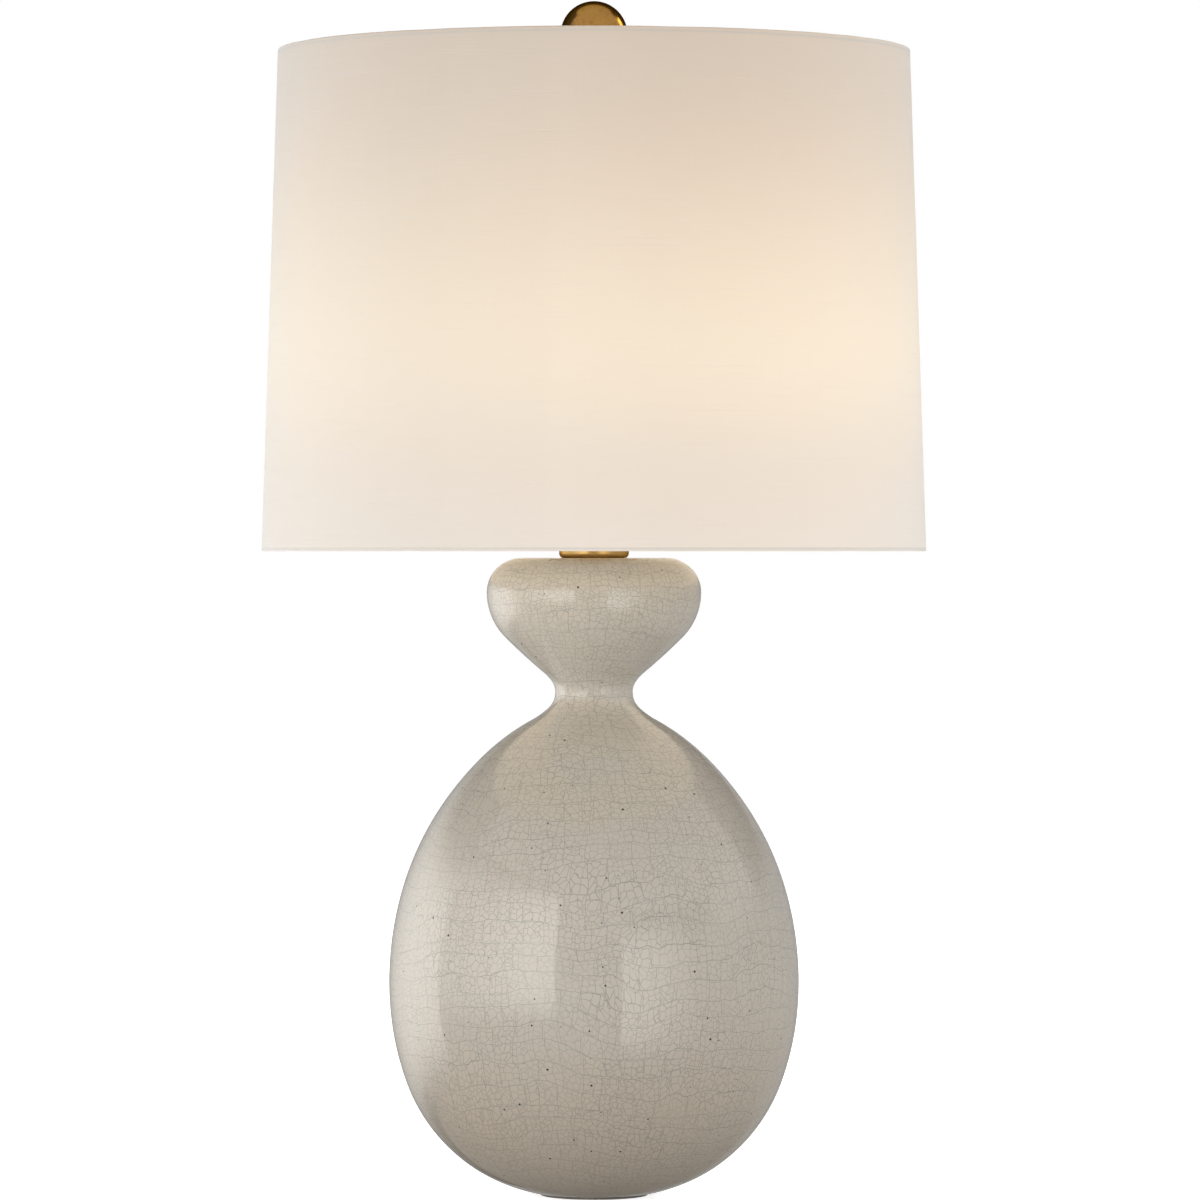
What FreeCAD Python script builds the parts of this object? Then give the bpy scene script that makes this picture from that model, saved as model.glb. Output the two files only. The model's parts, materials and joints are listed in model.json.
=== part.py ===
# Table lamp. A glazed gourd-shaped ceramic body stands on a felt-lined foot and carries a brass
# cap and neck, a screw socket with its bulb, and a wire harp. A linen drum shade hangs on the
# harp from a three-armed spider and is held by a ball finial.
# Millimetres, +Z up, origin at the middle of the foot on the table.
import FreeCAD, Part
import math
import os
import re

import Sketcher

# Driving dimensions. A rise is a height above the piece's own foot or seat, and a radius is
# half of a diameter. Values whose names end in _angle are in degrees.
SIZES = {
    # running and assembly clearances
    "fit_gap": 0.1,
    "slide_gap": 0.2,
    "hole_gap": 1.0,
    # ceramic body, outline stations from the foot up
    "foot_radius": 38.0,
    "foot_angle": 11.4,
    "flank_radius": 85.6,
    "flank_rise": 21.1,
    "flank_angle": 37.3,
    "belly_radius": 135.3,
    "belly_rise": 138.7,
    "shoulder_radius": 101.5,
    "shoulder_rise": 254.4,
    "shoulder_angle": 123.6,
    "throat_radius": 40.9,
    "throat_rise": 312.4,
    "throat_angle": 151.2,
    "waist_radius": 25.6,
    "waist_rise": 330.7,
    "flare_radius": 32.7,
    "flare_rise": 343.0,
    "flare_angle": 39.9,
    "gourd_radius": 70.8,
    "gourd_rise": 396.4,
    "crown_radius": 47.4,
    "gourd_to_crown": 22.7,
    "wall_thick": 6.5,
    "foot_ring_width": 10.0,
    "recess_depth": 10.0,
    "floor_thick": 8.0,
    "crown_hole_radius": 12.0,
    # felt under the foot
    "felt_thick": 1.5,
    "felt_inset": 2.5,
    # threaded pipe that clamps the body between the base nut and the cap
    "pipe_radius": 5.0,
    "pipe_bore_radius": 3.5,
    "pipe_overhang": 1.0,
    "pipe_stub": 7.6,
    "fibre_radius": 16.0,
    "fibre_thick": 1.0,
    "washer_radius": 22.0,
    "washer_thick": 2.0,
    "nut_across": 16.0,
    "nut_thick": 4.5,
    # cord inlet at the back
    "inlet_rise": 38.0,
    "inlet_bore_radius": 4.0,
    "inlet_barrel_radius": 6.0,
    "inlet_flange_radius": 9.5,
    "inlet_flange_thick": 2.2,
    "inlet_nut_thick": 2.5,
    "inlet_nut_gap": 0.5,
    # brass cap, its gasket and the neck
    "cap_radius": 23.0,
    "cap_height": 13.5,
    "cap_lip_width": 6.0,
    "cap_edge_radius": 4.6,
    "cap_top_edge_radius": 3.5,
    "gasket_thick": 1.5,
    "gasket_bore_radius": 10.0,
    "neck_height": 12.7,
    "neck_end_radius": 11.0,
    "neck_waist_radius": 7.5,
    "neck_bead": 2.5,
    # harp, saddle, sleeves and stud
    "saddle_thick": 1.6,
    "saddle_half_width": 9.0,
    "saddle_overhang": 5.5,
    "channel_wall": 1.2,
    "channel_height": 13.0,
    "harp_height": 279.4,
    "harp_wire_radius": 2.05,
    "leg_spread": 28.0,
    "leg_straight": 40.0,
    "harp_half_width": 57.0,
    "harp_widest_rise": 192.0,
    "harp_top_half_width": 12.0,
    "sleeve_wall": 1.2,
    "sleeve_height": 15.0,
    "stud_radius": 3.1,
    "stud_height": 13.0,
    "seat_radius": 10.0,
    "seat_thick": 2.0,
    "boss_radius": 6.5,
    "boss_cover": 1.6,
    # socket
    "socket_neck_radius": 8.5,
    "socket_neck_height": 7.0,
    "socket_floor": 1.6,
    "socket_dish_radius": 17.0,
    "socket_dish_rise": 10.0,
    "socket_cap_radius": 19.6,
    "socket_cap_waist": 16.0,
    "socket_cap_height": 22.0,
    "socket_wall": 0.8,
    "socket_shell_rise": 17.0,
    "socket_shell_height": 40.0,
    "shell_wall": 0.6,
    "liner_wall": 0.8,
    "liner_proud": 1.0,
    "block_height": 13.0,
    "block_flat": 14.0,
    "block_flat_height": 9.0,
    "set_screw_radius": 1.5,
    "set_screw_proud": 2.0,
    "screw_shell_radius": 13.45,
    "screw_shell_wall": 0.5,
    "screw_shell_height": 25.0,
    "screw_shell_hole_radius": 5.0,
    "contact_radius": 3.5,
    "contact_thick": 1.6,
    "terminal_radius": 2.6,
    "terminal_thick": 2.0,
    # rotary dimmer on the socket
    "dimmer_rise": 26.5,
    "shaft_radius": 1.6,
    "shaft_inner_end": 9.0,
    "knob_near_end": 27.0,
    "knob_radius": 6.5,
    "knob_height": 12.0,
    "knob_bore_depth": 8.0,
    "flute_radius": 0.8,
    "flute_count": 14,
    # bulb
    "bulb_contact_radius": 4.0,
    "bulb_contact_thick": 1.5,
    "insulator_height": 3.5,
    "insulator_radius": 9.6,
    "bulb_base_height": 22.0,
    "bulb_base_cone": 3.0,
    "bulb_base_lip": 1.6,
    "glass_start_rise": 20.0,
    "globe_radius": 30.0,
    "bulb_height": 106.0,
    "glass_wall": 1.0,
    "stem_radius": 4.0,
    "stem_height": 32.0,
    "stem_flare_height": 5.0,
    "filament_wire_radius": 0.5,
    "filament_rise": 22.0,
    "filament_half_width": 8.0,
    # shade
    "shade_radius": 219.2,
    "rim_inset": 10.8,
    "shade_height": 330.2,
    "fabric_thick": 0.8,
    "shade_liner_thick": 0.8,
    "layer_gap": 0.1,
    "ring_wire_radius": 1.3,
    "hem_depth": 12.0,
    "hub_radius": 14.0,
    "hub_thick": 2.0,
    "hub_drop": 25.4,
    "arm_wire_radius": 1.6,
    "arm_start": 11.0,
    "arm_foot": 20.0,
    "arm_shoulder": 44.0,
    "arm_below_ring": 1.0,
    "arm_count": 3,
    # finial
    "ball_radius": 22.2,
    "ball_rise": 35.8,
    "ball_flat_radius": 6.2,
    "finial_flange_radius": 9.0,
    "finial_flange_thick": 2.0,
    "finial_neck_radius": 5.2,
    "finial_neck_start": 4.5,
    "finial_neck_end": 11.0,
    "finial_bore_depth": 12.8,
    "finial_pin_radius": 2.9,
    "finial_pin_height": 8.0,
}

# Levels above the table and other sizes that follow from the driving ones.
LEVELS = {
    "crown_rise": "gourd_rise + gourd_to_crown",
    "rim_radius": "shade_radius - rim_inset",
    "foot_level": "felt_thick",
    "recess_level": "foot_level + recess_depth",
    "fibre_level": "recess_level - fibre_thick",
    "washer_level": "fibre_level - washer_thick",
    "nut_level": "washer_level - nut_thick",
    "pipe_level": "nut_level - pipe_overhang",
    "crown_level": "foot_level + crown_rise",
    "neck_level": "crown_level + cap_height",
    "saddle_level": "neck_level + neck_height",
    "saddle_top": "saddle_level + saddle_thick",
    "pipe_top": "saddle_top + pipe_stub",
    "block_level": "saddle_top + socket_shell_rise",
    "screw_shell_level": "block_level + block_height",
    "bulb_level": "screw_shell_level + contact_thick",
    "glass_level": "bulb_level + glass_start_rise",
    "seat_level": "saddle_top + harp_height",
    "harp_top_rise": "harp_height - seat_thick - boss_cover - harp_wire_radius",
    "hub_top": "seat_level + hub_thick",
    "rim_level": "hub_top + hub_drop",
    "shade_level": "rim_level - shade_height",
    "shade_taper": "rim_inset / shade_height",
    "hem_width": "2 * fabric_thick + 3 * layer_gap + shade_liner_thick + 2 * ring_wire_radius",
    "ring_inset": "fabric_thick + 2 * layer_gap + shade_liner_thick + ring_wire_radius",
    "ring_lift": "fabric_thick + layer_gap + ring_wire_radius",
    "shell_radius": "socket_cap_radius - socket_wall - fit_gap",
    "paper_radius": "shell_radius - shell_wall - fit_gap",
    "block_radius": "paper_radius - liner_wall - slide_gap",
    "channel_bore": "harp_wire_radius + slide_gap",
    "channel_radius": "channel_bore + channel_wall",
    "sleeve_bore": "channel_radius + slide_gap",
    "base_radius": "screw_shell_radius - fit_gap",
    "glass_straight": "bulb_contact_thick + insulator_height + bulb_base_height"
                      " - glass_start_rise + glass_wall",
    "ball_flat_drop": "sqrt(ball_radius ^ 2 - ball_flat_radius ^ 2)",
}

UPWARD, INWARD, FULL_TURN = 90.0, 180.0, 360.0

doc = FreeCAD.newDocument("table_lamp")
owner = {}
finished = []


def fill_sheet(name, rows):
    """Make a spreadsheet with one named cell for each row, a number or a formula."""
    sheet = doc.addObject("Spreadsheet::Sheet", name)
    for number, (alias, content) in enumerate(rows.items(), 1):
        formula = isinstance(content, str)
        sheet.set(f"A{number}", alias)
        sheet.set(f"B{number}", f"={bound(content)}" if formula else str(content))
        sheet.setAlias(f"B{number}", alias)
        owner[alias] = sheet


def bound(expression):
    """The expression with each named size led by the sheet that holds it."""
    def lead(match):
        word = match.group(0)
        return f"{owner[word].Name}.{word}" if word in owner else word
    return re.sub(r"[a-z_]+", lead, str(expression))


def size(alias):
    """The present value of a named size."""
    return float(getattr(owner[alias], alias))


def keep(piece, label):
    """Name a finished sub-part and put it on the list that is written out."""
    piece.Label = label
    finished.append(piece)
    return piece


def place(piece, level):
    """Lift a piece to a level given as an expression."""
    piece.setExpression("Placement.Base.z", bound(level))


def vector(across, up):
    """A point of a half section: distance from the axis, and height."""
    return FreeCAD.Vector(across, 0, up)


def heading(angle):
    """Unit direction in the half section, in degrees from outward, turning upward."""
    return vector(math.cos(math.radians(angle)), math.sin(math.radians(angle)))


def new_sketch(body, name, role="XY_Plane", offset=None):
    """Start a sketch on one of the body's own planes."""
    sketch = body.newObject("Sketcher::SketchObject", name)
    plane = next(item for item in body.Origin.OriginFeatures if item.Role == role)
    sketch.AttachmentSupport = [(plane, "")]
    sketch.MapMode = "FlatFace"
    if offset is not None:
        sketch.setExpression("AttachmentOffset.Base.z", bound(offset))
    return sketch


def fix_point(sketch, geometry, corner, across, up):
    """Hold one point of a sketch at a place given by two expressions."""
    for kind, expression in (("DistanceX", across), ("DistanceY", up)):
        index = sketch.addConstraint(Sketcher.Constraint(kind, geometry, corner, 1.0))
        name = f"{kind}_{geometry}_{corner}"
        sketch.renameConstraint(index, name)
        sketch.setExpression(f"Constraints.{name}", bound(expression))


def draw_outline(sketch, points, closed=True):
    """Draw straight lines through points whose coordinates are expressions."""
    count = len(points)
    start = [FreeCAD.Vector(math.cos(step), math.sin(step), 0) for step in range(count)]
    lines = count if closed else count - 1
    for line in range(lines):
        sketch.addGeometry(Part.LineSegment(start[line], start[(line + 1) % count]), False)
    joints = lines if closed else lines - 1
    for line in range(joints):
        sketch.addConstraint(Sketcher.Constraint("Coincident", line, 2, (line + 1) % lines, 1))
    for line in range(lines):
        fix_point(sketch, line, 1, *points[line])
    if not closed:
        fix_point(sketch, lines - 1, 2, *points[-1])


def draw_circle(sketch, radius, across="0", up="0"):
    """Draw a circle with its centre and radius given by expressions."""
    circle = Part.Circle(FreeCAD.Vector(0, 0, 0), FreeCAD.Vector(0, 0, 1), 1.0)
    geometry = sketch.addGeometry(circle, False)
    index = sketch.addConstraint(Sketcher.Constraint("Radius", geometry, 1.0))
    sketch.renameConstraint(index, f"Radius_{geometry}")
    sketch.setExpression(f"Constraints.Radius_{geometry}", bound(radius))
    fix_point(sketch, geometry, 3, across, up)


def pad(body, sketch, length, name):
    """Pad a sketch by a length given as an expression."""
    feature = body.newObject("PartDesign::Pad", name)
    feature.Profile = sketch
    feature.setExpression("Length", bound(length))
    sketch.Visibility = False
    return feature


def pocket(body, sketch, length, name, reverse=False):
    """Cut a sketch into the body and make sure that material went away."""
    doc.recompute()
    before = body.Shape.Volume
    feature = body.newObject("PartDesign::Pocket", name)
    feature.Profile = sketch
    feature.setExpression("Length", bound(length))
    feature.Reversed = reverse
    doc.recompute()
    if body.Shape.Volume >= before:
        raise RuntimeError(f"{body.Label}: {name} cuts nothing")
    return feature


def turned(label, level, outline):
    """A piece turned about the Z axis from a half section of straight lines."""
    body = doc.addObject("PartDesign::Body", label)
    sketch = new_sketch(body, f"{label}_section", "XZ_Plane")
    draw_outline(sketch, outline)
    feature = body.newObject("PartDesign::Revolution", f"{label}_turning")
    feature.Profile = sketch
    feature.ReferenceAxis = (sketch, ["V_Axis"])
    feature.Angle = FULL_TURN
    place(body, level)
    return keep(body, label)


def tube(label, level, radius, height, bore=None):
    """A straight round bar or, with a bore, a tube or washer."""
    body = doc.addObject("PartDesign::Body", label)
    sketch = new_sketch(body, f"{label}_section")
    draw_circle(sketch, radius)
    if bore is not None:
        draw_circle(sketch, bore)
    pad(body, sketch, height, f"{label}_pad")
    place(body, level)
    return keep(body, label)


def round_edge(body, radius, edge_radius, up, name):
    """Fillet the circular edge of the body that has this radius and local height."""
    doc.recompute()
    tip = body.Tip
    slack = size("fit_gap") / 2
    names = []
    for number, edge in enumerate(tip.Shape.Edges, 1):
        circle = edge.Curve
        if not isinstance(circle, Part.Circle):
            continue
        if abs(circle.Radius - radius) < slack and abs(circle.Center.z - up) < slack:
            names.append(f"Edge{number}")
    feature = body.newObject("PartDesign::Fillet", name)
    feature.Base = (tip, names)
    feature.setExpression("Radius", bound(edge_radius))
    return feature


def tangent_arc(start, direction, end):
    """Middle point and last direction of the arc that leaves start along direction."""
    chord = end - start
    along = FreeCAD.Vector(chord).normalize()
    turn = math.atan2(direction.x * along.z - direction.z * along.x, direction.dot(along))
    left = vector(-along.z, along.x)
    middle = (start + end) / 2 - left * (chord.Length / 2 * math.tan(turn / 2))
    return middle, along * (2 * direction.dot(along)) - direction


def outward(direction):
    """The direction to the right of travel, which is outward on the way up."""
    return vector(direction.z, -direction.x)


def smooth_arcs(stations):
    """Pairs of tangent arcs through stations of radius, height and slope angle.

    Each arc is three pairs of a point and its outward normal."""
    arcs = []
    for (from_r, from_z, from_angle), (to_r, to_z, to_angle) in zip(stations, stations[1:]):
        start, end = vector(from_r, from_z), vector(to_r, to_z)
        leave, arrive = heading(from_angle), heading(to_angle)
        chord, both = end - start, leave + arrive
        square = 2 * (1 - leave.dot(arrive))
        linear = 2 * chord.dot(both)
        constant = -chord.dot(chord)
        if abs(square) < 1e-9:
            reach = -constant / linear
        else:
            reach = (math.sqrt(linear ** 2 - 4 * square * constant) - linear) / (2 * square)
        joint = (start + leave * reach + end - arrive * reach) / 2
        for first, way, last in ((start, leave, joint), (joint, None, end)):
            way = way or turned_way
            middle, turned_way = tangent_arc(first, way, last)
            across = FreeCAD.Vector(last - first).normalize()
            arcs.append([(first, outward(way)), (middle, outward(across)),
                         (last, outward(turned_way))])
    return arcs


def arc_edges(arcs, inset=0.0):
    """Edges along the arcs, moved inward by an inset."""
    edges = []
    for arc in arcs:
        points = [point - normal * inset for point, normal in arc]
        edges.append(Part.Arc(*points).toShape())
    return edges


def ends_of(edges):
    """First and last point of a chain of edges."""
    return edges[0].firstVertex(True).Point, edges[-1].lastVertex(True).Point


def line(start, end):
    """A straight edge."""
    return Part.LineSegment(start, end).toShape()


def spin_section(edges):
    """Close a chain of edges to the axis and turn it into a solid."""
    first, last = ends_of(edges)
    top, bottom = vector(0, last.z), vector(0, first.z)
    closing = [(last, top), (top, bottom), (bottom, first)]
    closing = [line(*pair) for pair in closing if pair[0].distanceToPoint(pair[1]) > 0]
    face = Part.Face(Part.Wire(edges + closing))
    return face.revolve(FreeCAD.Vector(0, 0, 0), FreeCAD.Vector(0, 0, 1), FULL_TURN)


def cylinder(radius, height, base, direction=FreeCAD.Vector(0, 0, 1)):
    """A round bar from a base point along a direction."""
    return Part.makeCylinder(radius, height, base, direction)


def wire_solid(edges, radius):
    """A round wire along a chain of edges."""
    path = Part.Wire(edges)
    start = edges[0].firstVertex(True).Point
    way = edges[0].tangentAt(edges[0].FirstParameter)
    ring = Part.Wire(Part.makeCircle(radius, start, way))
    return path.makePipeShell([ring], True, False)


def shaped(label, shape, level):
    """A sub-part whose shape comes from curves, lifted to a level."""
    piece = doc.addObject("Part::Feature", label)
    piece.Shape = shape
    place(piece, level)
    return keep(piece, label)


def ceramic_stations():
    """The outline of the ceramic body from its foot to its crown."""
    return [
        (size("foot_radius"), 0, size("foot_angle")),
        (size("flank_radius"), size("flank_rise"), size("flank_angle")),
        (size("belly_radius"), size("belly_rise"), UPWARD),
        (size("shoulder_radius"), size("shoulder_rise"), size("shoulder_angle")),
        (size("throat_radius"), size("throat_rise"), size("throat_angle")),
        (size("waist_radius"), size("waist_rise"), UPWARD),
        (size("flare_radius"), size("flare_rise"), size("flare_angle")),
        (size("gourd_radius"), size("gourd_rise"), UPWARD),
        (size("crown_radius"), size("crown_rise"), INWARD),
    ]


def inlet_frame():
    """Point and outward direction of the wall at the inlet's height, in the half section."""
    rise = size("inlet_rise")
    for edge in arc_edges(smooth_arcs(ceramic_stations())):
        low, high = (point.z for point in ends_of([edge]))
        if low <= rise <= high:
            centre, radius = edge.Curve.Center, edge.Curve.Radius
            drop = rise - centre.z
            point = vector(centre.x + math.sqrt(radius ** 2 - drop ** 2), rise)
            return point, (point - centre).normalize()
    raise RuntimeError("the cord inlet lies beyond the ceramic body")


def to_the_back(point):
    """Turn a vector of the half section to the back of the lamp."""
    return FreeCAD.Vector(0, point.x, point.z)


def make_ceramic():
    """The hollow glazed body with its foot ring, floor, crown hole and cord inlet."""
    arcs = smooth_arcs(ceramic_stations())
    outside = spin_section(arc_edges(arcs))
    inside = spin_section(arc_edges(arcs, size("wall_thick")))
    floor = size("recess_depth") + size("floor_thick")
    shelf = size("crown_rise") - size("wall_thick")
    cavity = inside.common(cylinder(size("belly_radius"), shelf - floor, vector(0, floor)))
    recess = cylinder(size("foot_radius") - size("foot_ring_width"), size("recess_depth"),
                      vector(0, 0))
    floor_hole = cylinder(size("pipe_radius") + size("hole_gap"), floor, vector(0, 0))
    crown_hole = cylinder(size("crown_hole_radius"), size("crown_rise") - shelf,
                          vector(0, shelf))
    point, way = (to_the_back(item) for item in inlet_frame())
    depth = 2 * size("wall_thick")
    inlet = cylinder(size("inlet_barrel_radius") + size("slide_gap"), 2 * depth,
                     point - way * depth, way)
    shape = outside.cut([cavity, recess, floor_hole, crown_hole, inlet])
    shaped("ceramic_body", shape.Solids[0], "foot_level")


def make_base_hardware():
    """Felt, the clamping washers and nut, and the pipe."""
    tube("felt_pad", "0", "foot_radius - felt_inset", "felt_thick")
    tube("fibre_washer", "fibre_level", "fibre_radius", "fibre_thick", "pipe_radius + fit_gap")
    tube("base_washer", "washer_level", "washer_radius", "washer_thick",
         "pipe_radius + fit_gap")
    nut = doc.addObject("PartDesign::Body", "base_nut")
    sketch = new_sketch(nut, "base_nut_hexagon")
    corner = "nut_across / sqrt(3)"
    sixth = FULL_TURN / 6
    draw_outline(sketch, [(f"{corner} * cos({sixth * step})", f"{corner} * sin({sixth * step})")
                          for step in range(6)])
    pad(nut, sketch, "nut_thick", "base_nut_pad")
    bore = new_sketch(nut, "base_nut_bore")
    draw_circle(bore, "pipe_radius + fit_gap")
    pocket(nut, bore, "nut_thick", "base_nut_thread", reverse=True)
    place(nut, "nut_level")
    keep(nut, "base_nut")
    tube("lamp_pipe", "pipe_level", "pipe_radius", "pipe_top - pipe_level", "pipe_bore_radius")


def make_inlet():
    """The flanged bushing that lines the cord's hole, and the nut that holds it inside."""
    point, way = (to_the_back(item) for item in inlet_frame())
    point += FreeCAD.Vector(0, 0, size("foot_level"))
    turn = FreeCAD.Rotation(FreeCAD.Vector(0, 0, 1), way)
    barrel = "wall_thick + inlet_nut_gap + inlet_nut_thick"
    bushing = doc.addObject("PartDesign::Body", "cord_bushing")
    section = new_sketch(bushing, "cord_bushing_section", "XZ_Plane")
    draw_outline(section, [
        ("inlet_bore_radius", f"-({barrel})"),
        ("inlet_barrel_radius", f"-({barrel})"),
        ("inlet_barrel_radius", "0"),
        ("inlet_flange_radius", "0"),
        ("inlet_flange_radius", "inlet_flange_thick / 2"),
        ("inlet_flange_radius - inlet_flange_thick / 2", "inlet_flange_thick"),
        ("inlet_bore_radius", "inlet_flange_thick"),
    ])
    turning = bushing.newObject("PartDesign::Revolution", "cord_bushing_turning")
    turning.Profile = section
    turning.ReferenceAxis = (section, ["V_Axis"])
    turning.Angle = FULL_TURN
    bushing.Placement = FreeCAD.Placement(point, turn)
    keep(bushing, "cord_bushing")
    ring = doc.addObject("PartDesign::Body", "bushing_nut")
    face = new_sketch(ring, "bushing_nut_section")
    draw_circle(face, "inlet_flange_radius")
    draw_circle(face, "inlet_barrel_radius + fit_gap")
    pad(ring, face, "inlet_nut_thick", "bushing_nut_pad")
    depth = size("wall_thick") + size("inlet_nut_gap") + size("inlet_nut_thick")
    ring.Placement = FreeCAD.Placement(point - way * depth, turn)
    keep(ring, "bushing_nut")


def make_cap_and_neck():
    """The round-edged brass cap with its gasket, and the spool-shaped neck above it."""
    bore = "pipe_radius + fit_gap"
    cap = turned("vase_cap", "crown_level", [
        ("cap_radius - cap_lip_width", "0"),
        ("cap_radius", "0"),
        ("cap_radius", "cap_height"),
        (bore, "cap_height"),
        (bore, "gasket_thick"),
        ("cap_radius - cap_lip_width", "gasket_thick"),
    ])
    round_edge(cap, size("cap_radius"), "cap_edge_radius", 0, "vase_cap_foot_edge")
    round_edge(cap, size("cap_radius"), "cap_top_edge_radius", size("cap_height"),
               "vase_cap_top_edge")
    tube("cap_gasket", "crown_level", "cap_radius - cap_lip_width - slide_gap", "gasket_thick",
         "gasket_bore_radius")
    turned("neck", "neck_level", [
        (bore, "0"),
        ("neck_end_radius", "0"),
        ("neck_end_radius", "neck_bead"),
        ("neck_waist_radius", "2 * neck_bead"),
        ("neck_waist_radius", "neck_height - 2 * neck_bead"),
        ("neck_end_radius", "neck_height - neck_bead"),
        ("neck_end_radius", "neck_height"),
        (bore, "neck_height"),
    ])


def make_saddle():
    """The saddle plate with a half-round channel at each end for a harp leg."""
    body = doc.addObject("PartDesign::Body", "harp_saddle")
    plate = new_sketch(body, "harp_saddle_plate")
    reach, half = "(leg_spread + saddle_overhang)", "saddle_half_width"
    draw_outline(plate, [(f"-{reach}", f"-{half}"), (reach, f"-{half}"),
                         (reach, half), (f"-{reach}", half)])
    draw_circle(plate, "pipe_radius + fit_gap")
    pad(body, plate, "saddle_thick", "harp_saddle_plate_pad")
    posts = new_sketch(body, "harp_saddle_posts")
    for side in ("", "-"):
        draw_circle(posts, "channel_radius", f"{side}leg_spread")
    pad(body, posts, "saddle_thick + channel_height", "harp_saddle_posts_pad")
    for side, name in (("", "right"), ("-", "left")):
        hollow = new_sketch(body, f"harp_saddle_hollow_{name}", offset="saddle_thick")
        draw_circle(hollow, "channel_bore", f"{side}leg_spread")
        pocket(body, hollow, "channel_height", f"harp_saddle_hollow_{name}_cut", reverse=True)
        mouth = new_sketch(body, f"harp_saddle_mouth_{name}", offset="saddle_thick")
        near, far = f"{side}leg_spread", f"{side}(leg_spread + 2 * channel_radius)"
        draw_outline(mouth, [(near, "-channel_radius - fit_gap"), (far, "-channel_radius - fit_gap"),
                             (far, "channel_radius + fit_gap"), (near, "channel_radius + fit_gap")])
        pocket(body, mouth, "channel_height", f"harp_saddle_mouth_{name}_cut", reverse=True)
    place(body, "saddle_level")
    keep(body, "harp_saddle")


def make_harp():
    """The wire harp, the threaded stud on its top and the two sleeves on its legs."""
    spread, top = size("leg_spread"), size("harp_top_rise")
    foot, knee = vector(spread, 0), vector(spread, size("leg_straight"))
    arcs = smooth_arcs([
        (spread, size("leg_straight"), UPWARD),
        (size("harp_half_width"), size("harp_widest_rise"), UPWARD),
        (size("harp_top_half_width"), top, INWARD),
    ])
    right = [line(foot, knee)] + arc_edges(arcs)
    half_top = ends_of(right)[1]
    mirror = [[vector(-point.x, point.z) for point, normal in reversed(arc)]
              for arc in reversed(arcs)]
    left = [Part.Arc(*points).toShape() for points in mirror]
    left.append(line(vector(-spread, size("leg_straight")), vector(-spread, 0)))
    bar = line(half_top, vector(-half_top.x, half_top.z))
    shaped("harp", wire_solid(right + [bar] + left, size("harp_wire_radius")), "saddle_top")

    bar_drop = size("seat_thick") + size("boss_cover") + size("harp_wire_radius")
    boss_height = 2 * (size("boss_cover") + size("harp_wire_radius"))
    boss_foot = vector(0, -size("seat_thick") - boss_height)
    boss = cylinder(size("boss_radius"), boss_height, boss_foot)
    seat = cylinder(size("seat_radius"), size("seat_thick"), vector(0, -size("seat_thick")))
    post = cylinder(size("stud_radius"), size("stud_height"), vector(0, 0))
    bar_hole = cylinder(size("harp_wire_radius") + size("fit_gap"), 2 * size("boss_radius"),
                        vector(-size("boss_radius"), -bar_drop), vector(1, 0))
    stud = boss.fuse([seat, post]).removeSplitter().cut(bar_hole)
    shaped("harp_stud", stud.Solids[0], "seat_level")
    for side, name in (("-", "left"), ("", "right")):
        sleeve = tube(f"harp_sleeve_{name}", "saddle_top", "sleeve_bore + sleeve_wall",
                      "sleeve_height", "sleeve_bore")
        sleeve.setExpression("Placement.Base.x", bound(f"{side}leg_spread"))


def cut_shaft_hole(body, radius, rise, start, length):
    """Cut a round hole towards the front of a body, from a distance off its axis."""
    sketch = new_sketch(body, f"{body.Name}_shaft_hole", "XZ_Plane", offset=start)
    draw_circle(sketch, radius, "0", rise)
    pocket(body, sketch, length, f"{body.Name}_shaft_hole_cut", reverse=True)


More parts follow.
